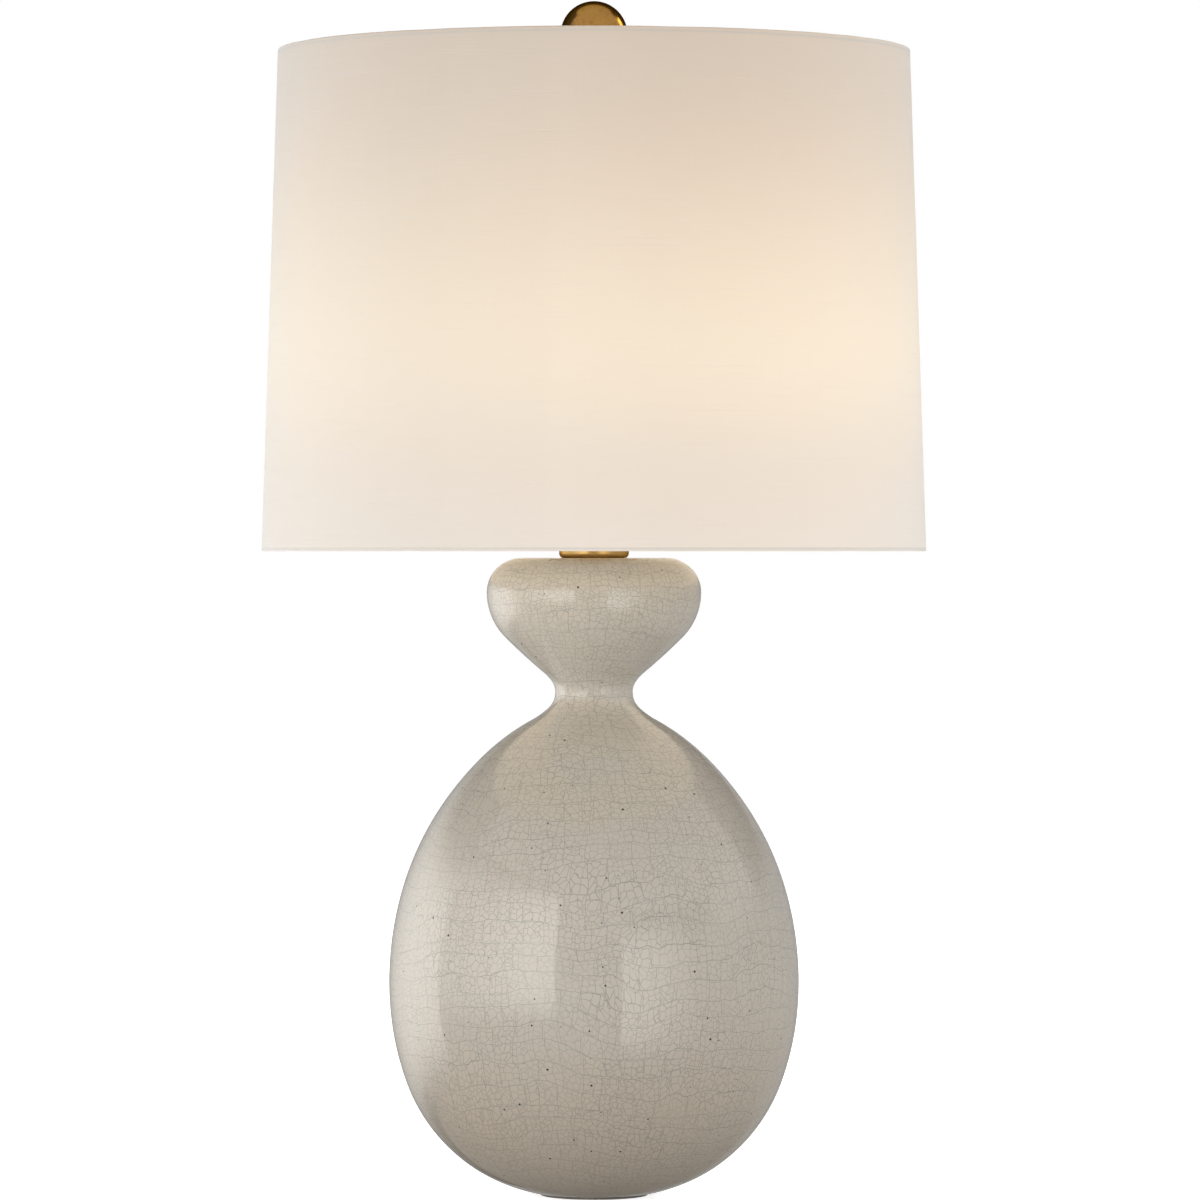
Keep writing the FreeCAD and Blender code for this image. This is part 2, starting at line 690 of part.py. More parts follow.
def make_socket():
    """The screw socket: cap, set screw, shell, paper liner, block, screw shell and contact."""
    bore, wall = "pipe_radius + fit_gap", "socket_wall"
    cap = turned("socket_cap", "saddle_top", [
        (bore, "0"),
        ("socket_neck_radius", "0"),
        ("socket_neck_radius", "socket_neck_height"),
        ("socket_dish_radius", "socket_dish_rise"),
        ("socket_cap_radius", "socket_cap_waist"),
        ("socket_cap_radius", "socket_cap_height"),
        (f"socket_cap_radius - {wall}", "socket_cap_height"),
        (f"socket_cap_radius - {wall}", "socket_cap_waist"),
        (f"socket_dish_radius - {wall}", f"socket_dish_rise + {wall}"),
        ("socket_neck_radius", "socket_neck_height + socket_floor"),
        (bore, "socket_neck_height + socket_floor"),
    ])
    hole = new_sketch(cap, "socket_cap_screw_hole", "XZ_Plane")
    draw_circle(hole, "set_screw_radius + fit_gap", "0", "socket_neck_height / 2")
    pocket(cap, hole, "socket_neck_radius + fit_gap", "socket_cap_screw_hole_cut")
    screw = doc.addObject("Part::Cylinder", "socket_set_screw")
    screw.setExpression("Radius", bound("set_screw_radius"))
    screw.setExpression("Height", bound("socket_neck_radius + set_screw_proud"
                                        " - pipe_radius - slide_gap"))
    screw.Placement = FreeCAD.Placement(
        FreeCAD.Vector(0, size("pipe_radius") + size("slide_gap"), 0),
        FreeCAD.Rotation(FreeCAD.Vector(0, 0, 1), FreeCAD.Vector(0, 1, 0)))
    place(screw, "saddle_top + socket_neck_height / 2")
    keep(screw, "socket_set_screw")

    rise = "dimmer_rise - socket_shell_rise"
    shell = tube("socket_shell", "block_level", "shell_radius", "socket_shell_height",
                 "shell_radius - shell_wall")
    cut_shaft_hole(shell, "2 * shaft_radius", rise, "0", "socket_cap_radius")
    paper = tube("socket_liner", "block_level", "paper_radius",
                 "socket_shell_height + liner_proud", "paper_radius - liner_wall")
    cut_shaft_hole(paper, "2 * shaft_radius", rise, "0", "socket_cap_radius")

    block = tube("socket_block", "block_level", "block_radius", "block_height")
    for side, name in (("", "right"), ("-", "left")):
        flat = new_sketch(block, f"socket_block_flat_{name}",
                          offset="(block_height - block_flat_height) / 2")
        near, far = f"{side}block_flat", f"{side}2 * block_radius"
        draw_outline(flat, [(near, "-block_radius"), (far, "-block_radius"),
                            (far, "block_radius"), (near, "block_radius")])
        pocket(block, flat, "block_flat_height", f"socket_block_flat_{name}_cut", reverse=True)
    cut_shaft_hole(block, "shaft_radius + fit_gap", rise, "shaft_inner_end", "socket_cap_radius")

    screws = []
    for side, way in (("", 1), ("-", -1)):
        head = doc.addObject("Part::Cylinder", "terminal_head")
        head.setExpression("Radius", bound("terminal_radius"))
        head.setExpression("Height", bound("terminal_thick"))
        head.Placement.Rotation = FreeCAD.Rotation(FreeCAD.Vector(0, 0, 1),
                                                   FreeCAD.Vector(way, 0, 0))
        head.setExpression("Placement.Base.x", bound(f"{side}block_flat"))
        screws.append(head)
    pair = doc.addObject("Part::Compound", "terminal_screws")
    pair.Links = screws
    place(pair, "block_level + block_height / 2")
    keep(pair, "terminal_screws")

    inner = "screw_shell_radius"
    outer = "screw_shell_radius + screw_shell_wall"
    turned("socket_screw_shell", "screw_shell_level", [
        ("screw_shell_hole_radius", "0"),
        (outer, "0"),
        (outer, "screw_shell_height"),
        (inner, "screw_shell_height"),
        (inner, "screw_shell_wall"),
        ("screw_shell_hole_radius", "screw_shell_wall"),
    ])
    tube("socket_contact", "screw_shell_level", "contact_radius", "contact_thick")


def make_dimmer():
    """The dimmer's shaft and its fluted knob, pointing to the front."""
    forward = FreeCAD.Rotation(FreeCAD.Vector(0, 0, 1), FreeCAD.Vector(0, -1, 0))
    level = "saddle_top + dimmer_rise"
    shaft = tube("dimmer_shaft", level, "shaft_radius",
                 "knob_near_end + knob_bore_depth - shaft_inner_end - slide_gap")
    shaft.Placement.Rotation = forward
    shaft.setExpression("Placement.Base.y", bound("-shaft_inner_end - slide_gap"))

    knob = doc.addObject("PartDesign::Body", "dimmer_knob")
    round_face = new_sketch(knob, "dimmer_knob_face")
    draw_circle(round_face, "knob_radius")
    pad(knob, round_face, "knob_height", "dimmer_knob_pad")
    bore = new_sketch(knob, "dimmer_knob_bore")
    draw_circle(bore, "shaft_radius + fit_gap")
    pocket(knob, bore, "knob_bore_depth", "dimmer_knob_bore_cut", reverse=True)
    flute = new_sketch(knob, "dimmer_knob_flute")
    draw_circle(flute, "flute_radius", "knob_radius")
    cut = pocket(knob, flute, "knob_height", "dimmer_knob_flute_cut", reverse=True)
    ring = knob.newObject("PartDesign::PolarPattern", "dimmer_knob_flutes")
    ring.Originals = [cut]
    ring.Axis = (flute, ["N_Axis"])
    ring.Angle = FULL_TURN
    ring.setExpression("Occurrences", bound("flute_count"))
    knob.Tip = ring
    knob.Placement.Rotation = forward
    place(knob, level)
    knob.setExpression("Placement.Base.y", bound("-knob_near_end"))
    keep(knob, "dimmer_knob")


def make_bulb():
    """The bulb: contact, insulator, screw base, glass, stem and filament."""
    tube("bulb_contact", "bulb_level", "bulb_contact_radius", "bulb_contact_thick")
    turned("bulb_insulator", "bulb_level + bulb_contact_thick", [
        ("0", "0"),
        ("bulb_contact_radius", "0"),
        ("insulator_radius", "insulator_height"),
        ("0", "insulator_height"),
    ])
    wall = "screw_shell_wall"
    turned("bulb_base", "bulb_level + bulb_contact_thick + insulator_height", [
        ("insulator_radius - bulb_base_lip", "0"),
        ("insulator_radius", "0"),
        ("base_radius", "bulb_base_cone"),
        ("base_radius", "bulb_base_height"),
        (f"base_radius - {wall}", "bulb_base_height"),
        (f"base_radius - {wall}", "bulb_base_cone"),
        (f"insulator_radius - {wall} / 2", wall),
        ("insulator_radius - bulb_base_lip", wall),
    ])
    neck = size("base_radius") - size("screw_shell_wall") - size("fit_gap")
    height = size("bulb_height") - size("glass_start_rise")
    straight = size("glass_straight")
    arcs = smooth_arcs([
        (neck, straight, UPWARD),
        (size("globe_radius"), height - size("globe_radius"), UPWARD),
        (0, height, INWARD),
    ])
    skins = []
    for inset in (0, size("glass_wall")):
        side = line(vector(neck - inset, 0), vector(neck - inset, straight))
        skins.append(spin_section([side] + arc_edges(arcs, inset)))
    shaped("bulb_glass", skins[0].cut(skins[1]).Solids[0], "glass_level")
    mouth_radius = "(base_radius - screw_shell_wall - fit_gap - glass_wall - slide_gap)"
    turned("bulb_stem", "glass_level + glass_wall", [
        ("0", "0"),
        (mouth_radius, "0"),
        (mouth_radius, "glass_wall"),
        ("stem_radius", "stem_flare_height"),
        ("stem_radius", "stem_height"),
        ("0", "stem_height"),
    ])
    half, top = size("filament_half_width"), size("filament_rise")
    foot = vector(size("stem_radius") / 2, 0)
    arcs = smooth_arcs([(foot.x, 0, UPWARD), (half, top / 2, UPWARD),
                        (half / 2, top, INWARD)])
    right = arc_edges(arcs)
    left = [Part.Arc(*[vector(-point.x, point.z) for point, normal in reversed(arc)]).toShape()
            for arc in reversed(arcs)]
    bar = line(vector(half / 2, top), vector(-half / 2, top))
    coil = wire_solid(right + [bar] + left, size("filament_wire_radius"))
    shaped("bulb_filament", coil, "glass_level + glass_wall + stem_height")


def wall_radius(up, inset):
    """Expression for a radius in the sloping shade wall, at a height above its lower edge."""
    return f"shade_radius - shade_taper * ({up}) - ({inset})"


def make_shade():
    """The drum shade: linen with turned hems, backing, two wire rings and the spider."""
    cloth, gap, hem, width = "fabric_thick", "layer_gap", "hem_depth", "hem_width"
    high = "shade_height"
    section = [
        ("0", "0"), (high, "0"), (high, width), (f"{high} - {hem}", width),
        (f"{high} - {hem}", f"{width} - {cloth}"), (f"{high} - {cloth}", f"{width} - {cloth}"),
        (f"{high} - {cloth}", cloth), (cloth, cloth), (cloth, f"{width} - {cloth}"),
        (hem, f"{width} - {cloth}"), (hem, width), ("0", width),
    ]
    linen = turned("shade_fabric", "shade_level",
                   [(wall_radius(up, inset), up) for up, inset in section])
    arm_rise = f"({high} - ring_lift - arm_below_ring)"
    slit = new_sketch(linen, "shade_fabric_arm_slit", "XZ_Plane")
    draw_circle(slit, "arm_wire_radius + slide_gap", "0", arm_rise)
    cut = pocket(linen, slit, f"rim_radius - {width} + 2 * {cloth}", "shade_fabric_arm_slit_cut")
    spread_around(linen, cut, slit, "shade_fabric_arm_slits")

    lift = f"({cloth} + {gap})"
    outer, inner = f"{cloth} + {gap}", f"{cloth} + {gap} + shade_liner_thick"
    turned("shade_liner", "shade_level", [
        (wall_radius(lift, outer), lift),
        (wall_radius(f"{high} - {lift}", outer), f"{high} - {lift}"),
        (wall_radius(f"{high} - {lift}", inner), f"{high} - {lift}"),
        (wall_radius(lift, inner), lift),
    ])
    for name, up in (("shade_bottom_ring", "ring_lift"),
                     ("shade_top_ring", f"({high} - ring_lift)")):
        ring = doc.addObject("Part::Torus", name)
        ring.setExpression("Radius1", bound(wall_radius(up, "ring_inset")))
        ring.setExpression("Radius2", bound("ring_wire_radius"))
        place(ring, f"shade_level + {up}")
        keep(ring, name)

    spider = doc.addObject("PartDesign::Body", "shade_spider")
    hub = new_sketch(spider, "shade_spider_hub")
    draw_circle(hub, "hub_radius")
    draw_circle(hub, "stud_radius + slide_gap")
    pad(spider, hub, "hub_thick", "shade_spider_hub_pad")
    top = "hub_thick + hub_drop - ring_lift - arm_below_ring"
    ring_up = f"{high} - ring_lift"
    reach = f"{wall_radius(ring_up, 'ring_inset')} - ring_wire_radius - layer_gap"
    arm_low = "hub_thick + arm_wire_radius / 2"
    path = new_sketch(spider, "shade_spider_arm_path", "YZ_Plane")
    draw_outline(path, [("arm_start", arm_low), ("arm_foot", arm_low),
                        ("arm_shoulder", top), (reach, top)], closed=False)
    ring = new_sketch(spider, "shade_spider_arm_section", "XZ_Plane", offset="-arm_start")
    draw_circle(ring, "arm_wire_radius", "0", arm_low)
    arm = spider.newObject("PartDesign::AdditivePipe", "shade_spider_arm")
    arm.Profile = ring
    arm.Spine = (path, [])
    arm.Transition = "Round corner"
    doc.recompute()
    spread_around(spider, arm, hub, "shade_spider_arms")
    place(spider, "seat_level")
    keep(spider, "shade_spider")


def spread_around(body, feature, sketch, name):
    """Repeat a feature of the shade once for each arm of its spider."""
    pattern = body.newObject("PartDesign::PolarPattern", name)
    pattern.Originals = [feature]
    axis = "V_Axis" if sketch.Name.endswith("slit") else "N_Axis"
    pattern.Axis = (sketch, [axis])
    pattern.Angle = FULL_TURN
    pattern.setExpression("Occurrences", bound("arm_count"))
    body.Tip = pattern


def make_finial():
    """The threaded base of the finial and the ball that is pinned on it."""
    flat = "(ball_rise - ball_flat_drop)"
    turned("finial_base", "hub_top", [
        ("stud_radius + fit_gap", "0"),
        ("finial_flange_radius", "0"),
        ("finial_flange_radius", "finial_flange_thick"),
        ("finial_neck_radius", "finial_neck_start"),
        ("finial_neck_radius", "finial_neck_end"),
        ("ball_flat_radius - slide_gap", flat),
        ("finial_pin_radius", flat),
        ("finial_pin_radius", f"{flat} + finial_pin_height"),
        ("0", f"{flat} + finial_pin_height"),
        ("0", "finial_bore_depth"),
        ("stud_radius + fit_gap", "finial_bore_depth"),
    ])
    ball = doc.addObject("Part::Sphere", "finial_sphere")
    ball.setExpression("Radius", bound("ball_radius"))
    seat = doc.addObject("Part::Cylinder", "finial_ball_seat")
    seat.setExpression("Radius", bound("ball_flat_radius"))
    seat.setExpression("Height", bound("ball_radius"))
    place(seat, "-ball_flat_drop - ball_radius")
    pin_hole = doc.addObject("Part::Cylinder", "finial_ball_pin_hole")
    pin_hole.setExpression("Radius", bound("finial_pin_radius + fit_gap"))
    pin_hole.setExpression("Height", bound("ball_radius + finial_pin_height + fit_gap"))
    place(pin_hole, "-ball_flat_drop - ball_radius")
    tools = doc.addObject("Part::MultiFuse", "finial_ball_cuts")
    tools.Shapes = [seat, pin_hole]
    cut = doc.addObject("Part::Cut", "finial_ball")
    cut.Base = ball
    cut.Tool = tools
    place(cut, "hub_top + ball_rise")
    keep(cut, "finial_ball")


def check_document():
    """Stop if an object failed or a sub-part has no valid shape."""
    for item in doc.Objects:
        if "Invalid" in item.State or "Error" in item.State:
            raise RuntimeError(f"{item.Label} failed: {item.State}")
    for piece in finished:
        if piece.Shape.isNull() or not piece.Shape.isValid() or piece.Shape.Volume <= 0:
            raise RuntimeError(f"{piece.Label} has no valid shape")


def write_parts():
    """Write each sub-part to its own file."""
    os.makedirs("parts", exist_ok=True)
    for piece in finished:
        piece.Shape.exportStep(f"parts/{piece.Label}.step")
        box = piece.Shape.optimalBoundingBox()
        print(f"{piece.Label:20} solids {len(piece.Shape.Solids)}"
              f" volume {piece.Shape.Volume:12.1f}"
              f" z {box.ZMin:7.2f} to {box.ZMax:7.2f} x {box.XMax:7.2f} y {box.YMin:7.2f}")


fill_sheet("Sizes", SIZES)
fill_sheet("Levels", LEVELS)
doc.recompute()

make_base_hardware()
make_ceramic()
make_inlet()
make_cap_and_neck()
make_saddle()
make_harp()
make_socket()
make_dimmer()
make_bulb()
make_shade()
make_finial()
doc.recompute()
check_document()
write_parts()
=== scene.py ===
import json
import logging
import math
from dataclasses import dataclass
from enum import Enum
from functools import reduce
from typing import Callable, Iterable, Sequence

import bmesh
import bpy
from mathutils import Matrix, Vector


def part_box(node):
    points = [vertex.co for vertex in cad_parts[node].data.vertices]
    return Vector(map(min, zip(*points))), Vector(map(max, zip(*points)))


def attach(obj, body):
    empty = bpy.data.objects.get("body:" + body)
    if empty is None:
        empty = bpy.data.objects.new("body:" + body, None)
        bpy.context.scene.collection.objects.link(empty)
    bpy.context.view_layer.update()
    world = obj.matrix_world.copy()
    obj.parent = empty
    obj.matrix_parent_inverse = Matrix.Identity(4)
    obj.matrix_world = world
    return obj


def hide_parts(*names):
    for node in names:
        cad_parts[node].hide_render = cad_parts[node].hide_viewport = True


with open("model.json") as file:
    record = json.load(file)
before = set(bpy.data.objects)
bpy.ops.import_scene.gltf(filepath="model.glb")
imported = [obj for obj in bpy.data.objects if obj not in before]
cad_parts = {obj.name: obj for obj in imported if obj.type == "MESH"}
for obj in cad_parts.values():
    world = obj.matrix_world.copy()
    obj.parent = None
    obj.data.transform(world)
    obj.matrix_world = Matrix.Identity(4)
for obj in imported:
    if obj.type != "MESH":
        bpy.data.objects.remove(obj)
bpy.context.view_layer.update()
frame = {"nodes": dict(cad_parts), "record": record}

log = logging.getLogger("table_lamp")

Point = tuple[float, float]
Corner = tuple[float, float, float]
Colour = tuple[float, float, float]
Piece = bpy.types.Object
Material = bpy.types.Material
Node = bpy.types.Node
Socket = bpy.types.NodeSocket
Reshape = Callable[[float, float, float], Point]

# A length under this counts as nothing, and the most of a side that a rounded corner takes.
POLE = 1e-6
CORNER_SHARE = 0.48
FULL_TURN = 2 * math.pi
# Turns what points up to the front.
FORWARD = Matrix.Rotation(FULL_TURN / 4, 4, "X")
# Degrees between faces: shaded sharp, broken on a CAD shape, and flat enough to be one face.
SHARP_ABOVE = 50.0
BROKEN_ABOVE = 35.0
FLAT_BELOW = 1.0
# The bore of what the threaded pipe runs through, and its fine thread.
NIPPLE_BORE = 0.0051
FINE_PITCH = 0.00095
FINE_DEPTH = 0.00035
BLACK: Colour = (0.0, 0.0, 0.0)
COOL: Colour = (0.96, 0.98, 1.0)
SOCKET_KINDS = {"Vector": "Vector", "Normal": "Vector", "Geometry": "Geometry", "Count": "Int",
                "Sides": "Int", "Material": "Material"}


class Body(Enum):
    """The rigid bodies of the lamp."""

    ROOT = "root"
    DIMMER = "dimmer"
    BULB = "bulb"
    HARP = "harp"
    SLEEVE_LEFT = "sleeve_left"
    SLEEVE_RIGHT = "sleeve_right"
    SHADE = "shade"
    FINIAL = "finial"


class Slot(Enum):
    """The material slots that finishes are kept under."""

    FELT = "felt"
    CRACKLE_GLAZE = "crackle_glaze"
    FIBRE = "fibre"
    ZINC_STEEL = "zinc_steel"
    BUSHING_PLASTIC = "bushing_plastic"
    GASKET_RUBBER = "gasket_rubber"
    AGED_BRASS = "aged_brass"
    HARP_BRASS = "harp_brass"
    SOCKET_BRASS = "socket_brass"
    SOCKET_PAPER = "socket_paper"
    PHENOLIC = "phenolic"
    SHELL_ALUMINIUM = "shell_aluminium"
    KNOB_PLASTIC = "knob_plastic"
    FROSTED_GLASS = "frosted_glass"
    INSULATOR_GLASS = "insulator_glass"
    STEM_GLASS = "stem_glass"
    FILAMENT_WIRE = "filament_wire"
    LINEN = "linen"
    STYRENE = "styrene"
    RING_WIRE = "ring_wire"


class Effect(Enum):
    """Shader node groups that several finishes share."""

    MOTTLE = "mottle"
    GRAIN = "grain"
    TURNING_LINES = "turning_lines"


@dataclass(frozen=True)
class Room:
    """The space that a CAD node takes at rest, in metres."""

    low: Vector
    high: Vector

    @classmethod
    def of(cls, node: str) -> "Room":
        """The room of the node with this name."""
        return cls(*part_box(node))

    @property
    def centre(self) -> Vector:
        """The middle of the box."""
        return (self.low + self.high) / 2

    @property
    def radius(self) -> float:
        """Half the width along X."""
        return (self.high.x - self.low.x) / 2

    @property
    def height(self) -> float:
        """The height along Z."""
        return self.high.z - self.low.z


def span(node: str) -> tuple[float, float, float]:
    """The lowest and the highest level of a CAD node, and its radius."""
    room = Room.of(node)
    return room.low.z, room.high.z, room.radius


@dataclass(frozen=True)
class Station:
    """A point that an outline passes: radius and rise in metres, slope in degrees.

    The slope is counted from outward, turning upward."""

    radius: float
    rise: float
    slope: float

    @property
    def place(self) -> Vector:
        """The point in the half section."""
        return Vector((self.radius, self.rise))

    @property
    def heading(self) -> Vector:
        """The unit direction of travel."""
        return Vector((math.cos(math.radians(self.slope)), math.sin(math.radians(self.slope))))


def arc_samples(start: Vector, heading: Vector, end: Vector, steps: int) -> list[tuple[Vector, Vector]]:
    """Sample the arc that leaves a point along a heading and ends at another point.

    Args:
        start: First point of the arc.
        heading: Unit direction in which it leaves.
        end: Last point of the arc.
        steps: Number of pieces that it is cut into.

    Returns:
        Pairs of a point and the direction of travel there, both ends included.
    """
    chord = end - start
    half_turn = math.atan2(heading.x * chord.y - heading.y * chord.x, heading.dot(chord))
    samples = []
    for step in range(steps + 1):
        share = step / steps
        turned = Matrix.Rotation(2 * half_turn * share, 2) @ heading
        if abs(half_turn) < POLE:
            samples.append((start + chord * share, turned))
            continue
        radius = chord.length / (2 * math.sin(half_turn))
        centre = start + Vector((-heading.y, heading.x)) * radius
        samples.append((centre + Vector((turned.y, -turned.x)) * radius, turned))
    return samples


def flow(stations: Sequence[Station], steps: int) -> list[tuple[Vector, Vector]]:
    """Join stations with pairs of tangent arcs.

    Args:
        stations: The stations in order of travel.
        steps: Number of pieces in each arc.

    Returns:
        Pairs of a point and its outward normal, to the right of travel.
    """
    samples: list[tuple[Vector, Vector]] = []
    for here, there in zip(stations, stations[1:]):
        chord, both = there.place - here.place, here.heading + there.heading
        square = 2 * (1 - here.heading.dot(there.heading))
        linear, constant = 2 * chord.dot(both), -chord.dot(chord)
        if square < POLE:
            reach = -constant / linear
        else:
            reach = (math.sqrt(linear ** 2 - 4 * square * constant) - linear) / (2 * square)
        joint = (here.place + here.heading * reach + there.place - there.heading * reach) / 2
        first = arc_samples(here.place, here.heading, joint, steps)
        second = arc_samples(joint, first[-1][1], there.place, steps)
        samples += first[:-1] + second[:-1]
    last = stations[-1]
    samples.append((last.place, last.heading))
    return [(point, Vector((way.y, -way.x))) for point, way in samples]


def course(stations: Sequence[Station], steps: int) -> list[Point]:
    """The points of a flow alone."""
    return [tuple(point) for point, _ in flow(stations, steps)]


def rounded(corners: Iterable[Corner], steps: int = 4, closed: bool = True) -> list[Point]:
    """Round the corners of an outline.

    Args:
        corners: Two coordinates and a rounding radius for each corner, in order.
        steps: Number of straight pieces in each rounded corner.
        closed: Whether the last corner joins the first one.

    Returns:
        The points of the outline.
    """
    corners = list(corners)
    points: list[Point] = []
    for index, (across, up, radius) in enumerate(corners):
        here = Vector((across, up))
        at_end = not closed and index in (0, len(corners) - 1)
        if radius <= 0 or at_end:
            points.append((across, up))
            continue
        before = Vector(corners[index - 1][:2]) - here
        after = Vector(corners[(index + 1) % len(corners)][:2]) - here
        half_opening = before.angle(after) / 2
        reach = min(radius / math.tan(half_opening), CORNER_SHARE * before.length,
                    CORNER_SHARE * after.length)
        start, end = here + before.normalized() * reach, here + after.normalized() * reach
        points += [tuple(point) for point, _ in arc_samples(start, -before.normalized(), end, steps)]
    return points


def band(inner: float, outer: float, low: float, high: float, edges: Sequence[float]) -> list[Corner]:
    """Corners of a rectangular section, from inside below and round by outside above."""
    spots = ((inner, low), (outer, low), (outer, high), (inner, high))
    return [(*spot, edge) for spot, edge in zip(spots, edges)]


def circle(radius: float, level: float, count: int) -> list[Corner]:
    """Evenly spaced points of a level circle round the Z axis."""
    angles = [FULL_TURN * step / count for step in range(count)]
    return [(radius * math.cos(angle), radius * math.sin(angle), level) for angle in angles]


def mirrored(side: Sequence[Point], between: Sequence[Corner] = ()) -> list[Corner]:
    """The points of a wire in the XZ plane: its right side, what lies between, and its left."""
    right = [(x, 0.0, z) for x, z in side]
    return right + list(between) + [(-x, y, z) for x, y, z in reversed(right)]


def ladder(radius: float, low: float, high: float, step: float) -> list[Corner]:
    """Corners up a straight wall, close enough together to carry a thread."""
    count = max(2, round((high - low) / step))
    return [(radius, low + (high - low) * index / count, 0.0) for index in range(count + 1)]


def thread(pitch: float, depth: float, beyond: float, *spans: Point) -> Reshape:
    """A screw thread in the outer wall of a turned piece.

    Args:
        pitch: Rise of the thread in one turn.
        depth: Depth of its groove.
        beyond: Radius inside which nothing is threaded.
        spans: The level where each threaded length starts, and where it ends.

    Returns:
        A reshaping for turn.
    """
    def reshape(angle: float, radius: float, height: float) -> Point:
        """Draw the surface in along the groove."""
        if radius < beyond:
            return radius, height
        inside = max(min(height - low, high - height) for low, high in spans)
        fade = min(max(inside / pitch, 0.0), 1.0)
        wave = 0.5 - 0.5 * math.cos(FULL_TURN * height / pitch - angle)
        return radius - depth * wave * fade, height
    return reshape


def meshed(name: str, vertices: Sequence, faces: Sequence, spots: Sequence[Point] = ()
           ) -> bpy.types.Mesh:
    """A mesh, with a UV map "surface" where spots are given for its faces' corners."""
    mesh = bpy.data.meshes.new(name)
    mesh.from_pydata(vertices, [], faces)
    if spots:
        layer = mesh.uv_layers.new(name="surface")
        layer.data.foreach_set("uv", [value for spot in spots for value in spot])
    return mesh


def linked(name: str, data: bpy.types.ID) -> Piece:
    """Put a new object into the scene."""
    piece = bpy.data.objects.new(name, data)
    bpy.context.scene.collection.objects.link(piece)
    return piece


def smooth(mesh: bpy.types.Mesh, sharp_above: float = SHARP_ABOVE) -> bpy.types.Mesh:
    """Shade a mesh smooth, but for edges that turn by more than some degrees."""
    mesh.shade_smooth()
    mesh.set_sharp_from_angle(angle=math.radians(sharp_above))
    return mesh


def turn(name: str, section: Sequence[Point], segments: int = 96, reshape: Reshape | None = None
         ) -> Piece:
    """Turn a closed half section about the Z axis into a closed mesh.

    Args:
        name: Name of the new object.
        section: Radius and height of each point of the closed section.
        segments: Number of steps round the axis.
        reshape: Takes an angle, a radius and a height, and gives a new radius and height.

    Returns:
        The object. Its UV map holds the share of a turn and the metres along the section.
    """
    section = list(section)
    following = section[1:] + section[:1]
    if sum(a[0] * b[1] - b[0] * a[1] for a, b in zip(section, following)) < 0:
        section.reverse()
        following = section[1:] + section[:1]
    walked = [0.0]
    for here, there in zip(section, following):
        walked.append(walked[-1] + math.dist(here, there))
    vertices: list[tuple[float, float, float]] = []
    rows: list[list[int]] = []
    for radius, height in section:
        first, around = len(vertices), 1 if radius < POLE else segments
        for step in range(around):
            angle = FULL_TURN * step / segments
            wide, high = reshape(angle, radius, height) if reshape else (radius, height)
            vertices.append((wide * math.cos(angle), wide * math.sin(angle), high))
        rows.append([first + step % around for step in range(segments)])
    faces, spots = [], []
    for index, row in enumerate(rows):
        upper = rows[(index + 1) % len(rows)]
        for step in range(segments):
            ahead = (step + 1) % segments
            ring = [(row[step], step, index), (row[ahead], step + 1, index),
                    (upper[ahead], step + 1, index + 1), (upper[step], step, index + 1)]
            kept = [item for place, item in enumerate(ring) if item[0] != ring[place - 1][0]]
            if len({item[0] for item in kept}) > 2:
                faces.append([item[0] for item in kept])
                spots += [(item[1] / segments, walked[item[2]]) for item in kept]
    return linked(name, smooth(meshed(name, vertices, faces, spots)))


def washer(name: str, node: str, inner: float, edges: Sequence[float], segments: int) -> Piece:
    """A ring or disc in the room of a CAD node."""
    low, high, wide = span(node)
    return turn(name, rounded(band(inner, wide, low, high, edges)), segments)


def baked(piece: Piece) -> Piece:
    """Turn the result of an object's modifiers into its own plain mesh."""
    graph = bpy.context.evaluated_depsgraph_get()
    graph.update()
    mesh = bpy.data.meshes.new_from_object(piece.evaluated_get(graph), depsgraph=graph)
    mesh.name = piece.name
    piece.modifiers.clear()
    piece.data = smooth(mesh)
    return piece


def moved(piece: Piece, matrix: Matrix) -> Piece:
    """Move a piece's mesh, and leave its object at the origin."""
    piece.data.transform(matrix)
    return piece


def lifted(x: float = 0.0, y: float = 0.0, z: float = 0.0) -> Matrix:
    """A shift as a matrix."""
    return Matrix.Translation((x, y, z))


def eased(node: str, name: str, width: float) -> Piece:
    """Copy a CAD node, merge its loose triangles and break its sharp edges.

    Args:
        node: The CAD node.
        name: Name of the new piece.
        width: Width of the broken edges, in metres.

    Returns:
        The new piece.
    """
    made = bmesh.new()
    made.from_mesh(frame["nodes"][node].data)
    bmesh.ops.remove_doubles(made, verts=made.verts, dist=POLE)
    bmesh.ops.dissolve_limit(made, angle_limit=math.radians(FLAT_BELOW), verts=made.verts,
                             edges=made.edges)
    bmesh.ops.recalc_face_normals(made, faces=made.faces)
    mesh = bpy.data.meshes.new(name)
    made.to_mesh(mesh)
    made.free()
    piece = linked(name, smooth(mesh))
    bevel = piece.modifiers.new("broken_edges", "BEVEL")
    bevel.width, bevel.segments, bevel.limit_method = width, 2, "ANGLE"
    bevel.angle_limit = math.radians(BROKEN_ABOVE)
    return baked(piece)


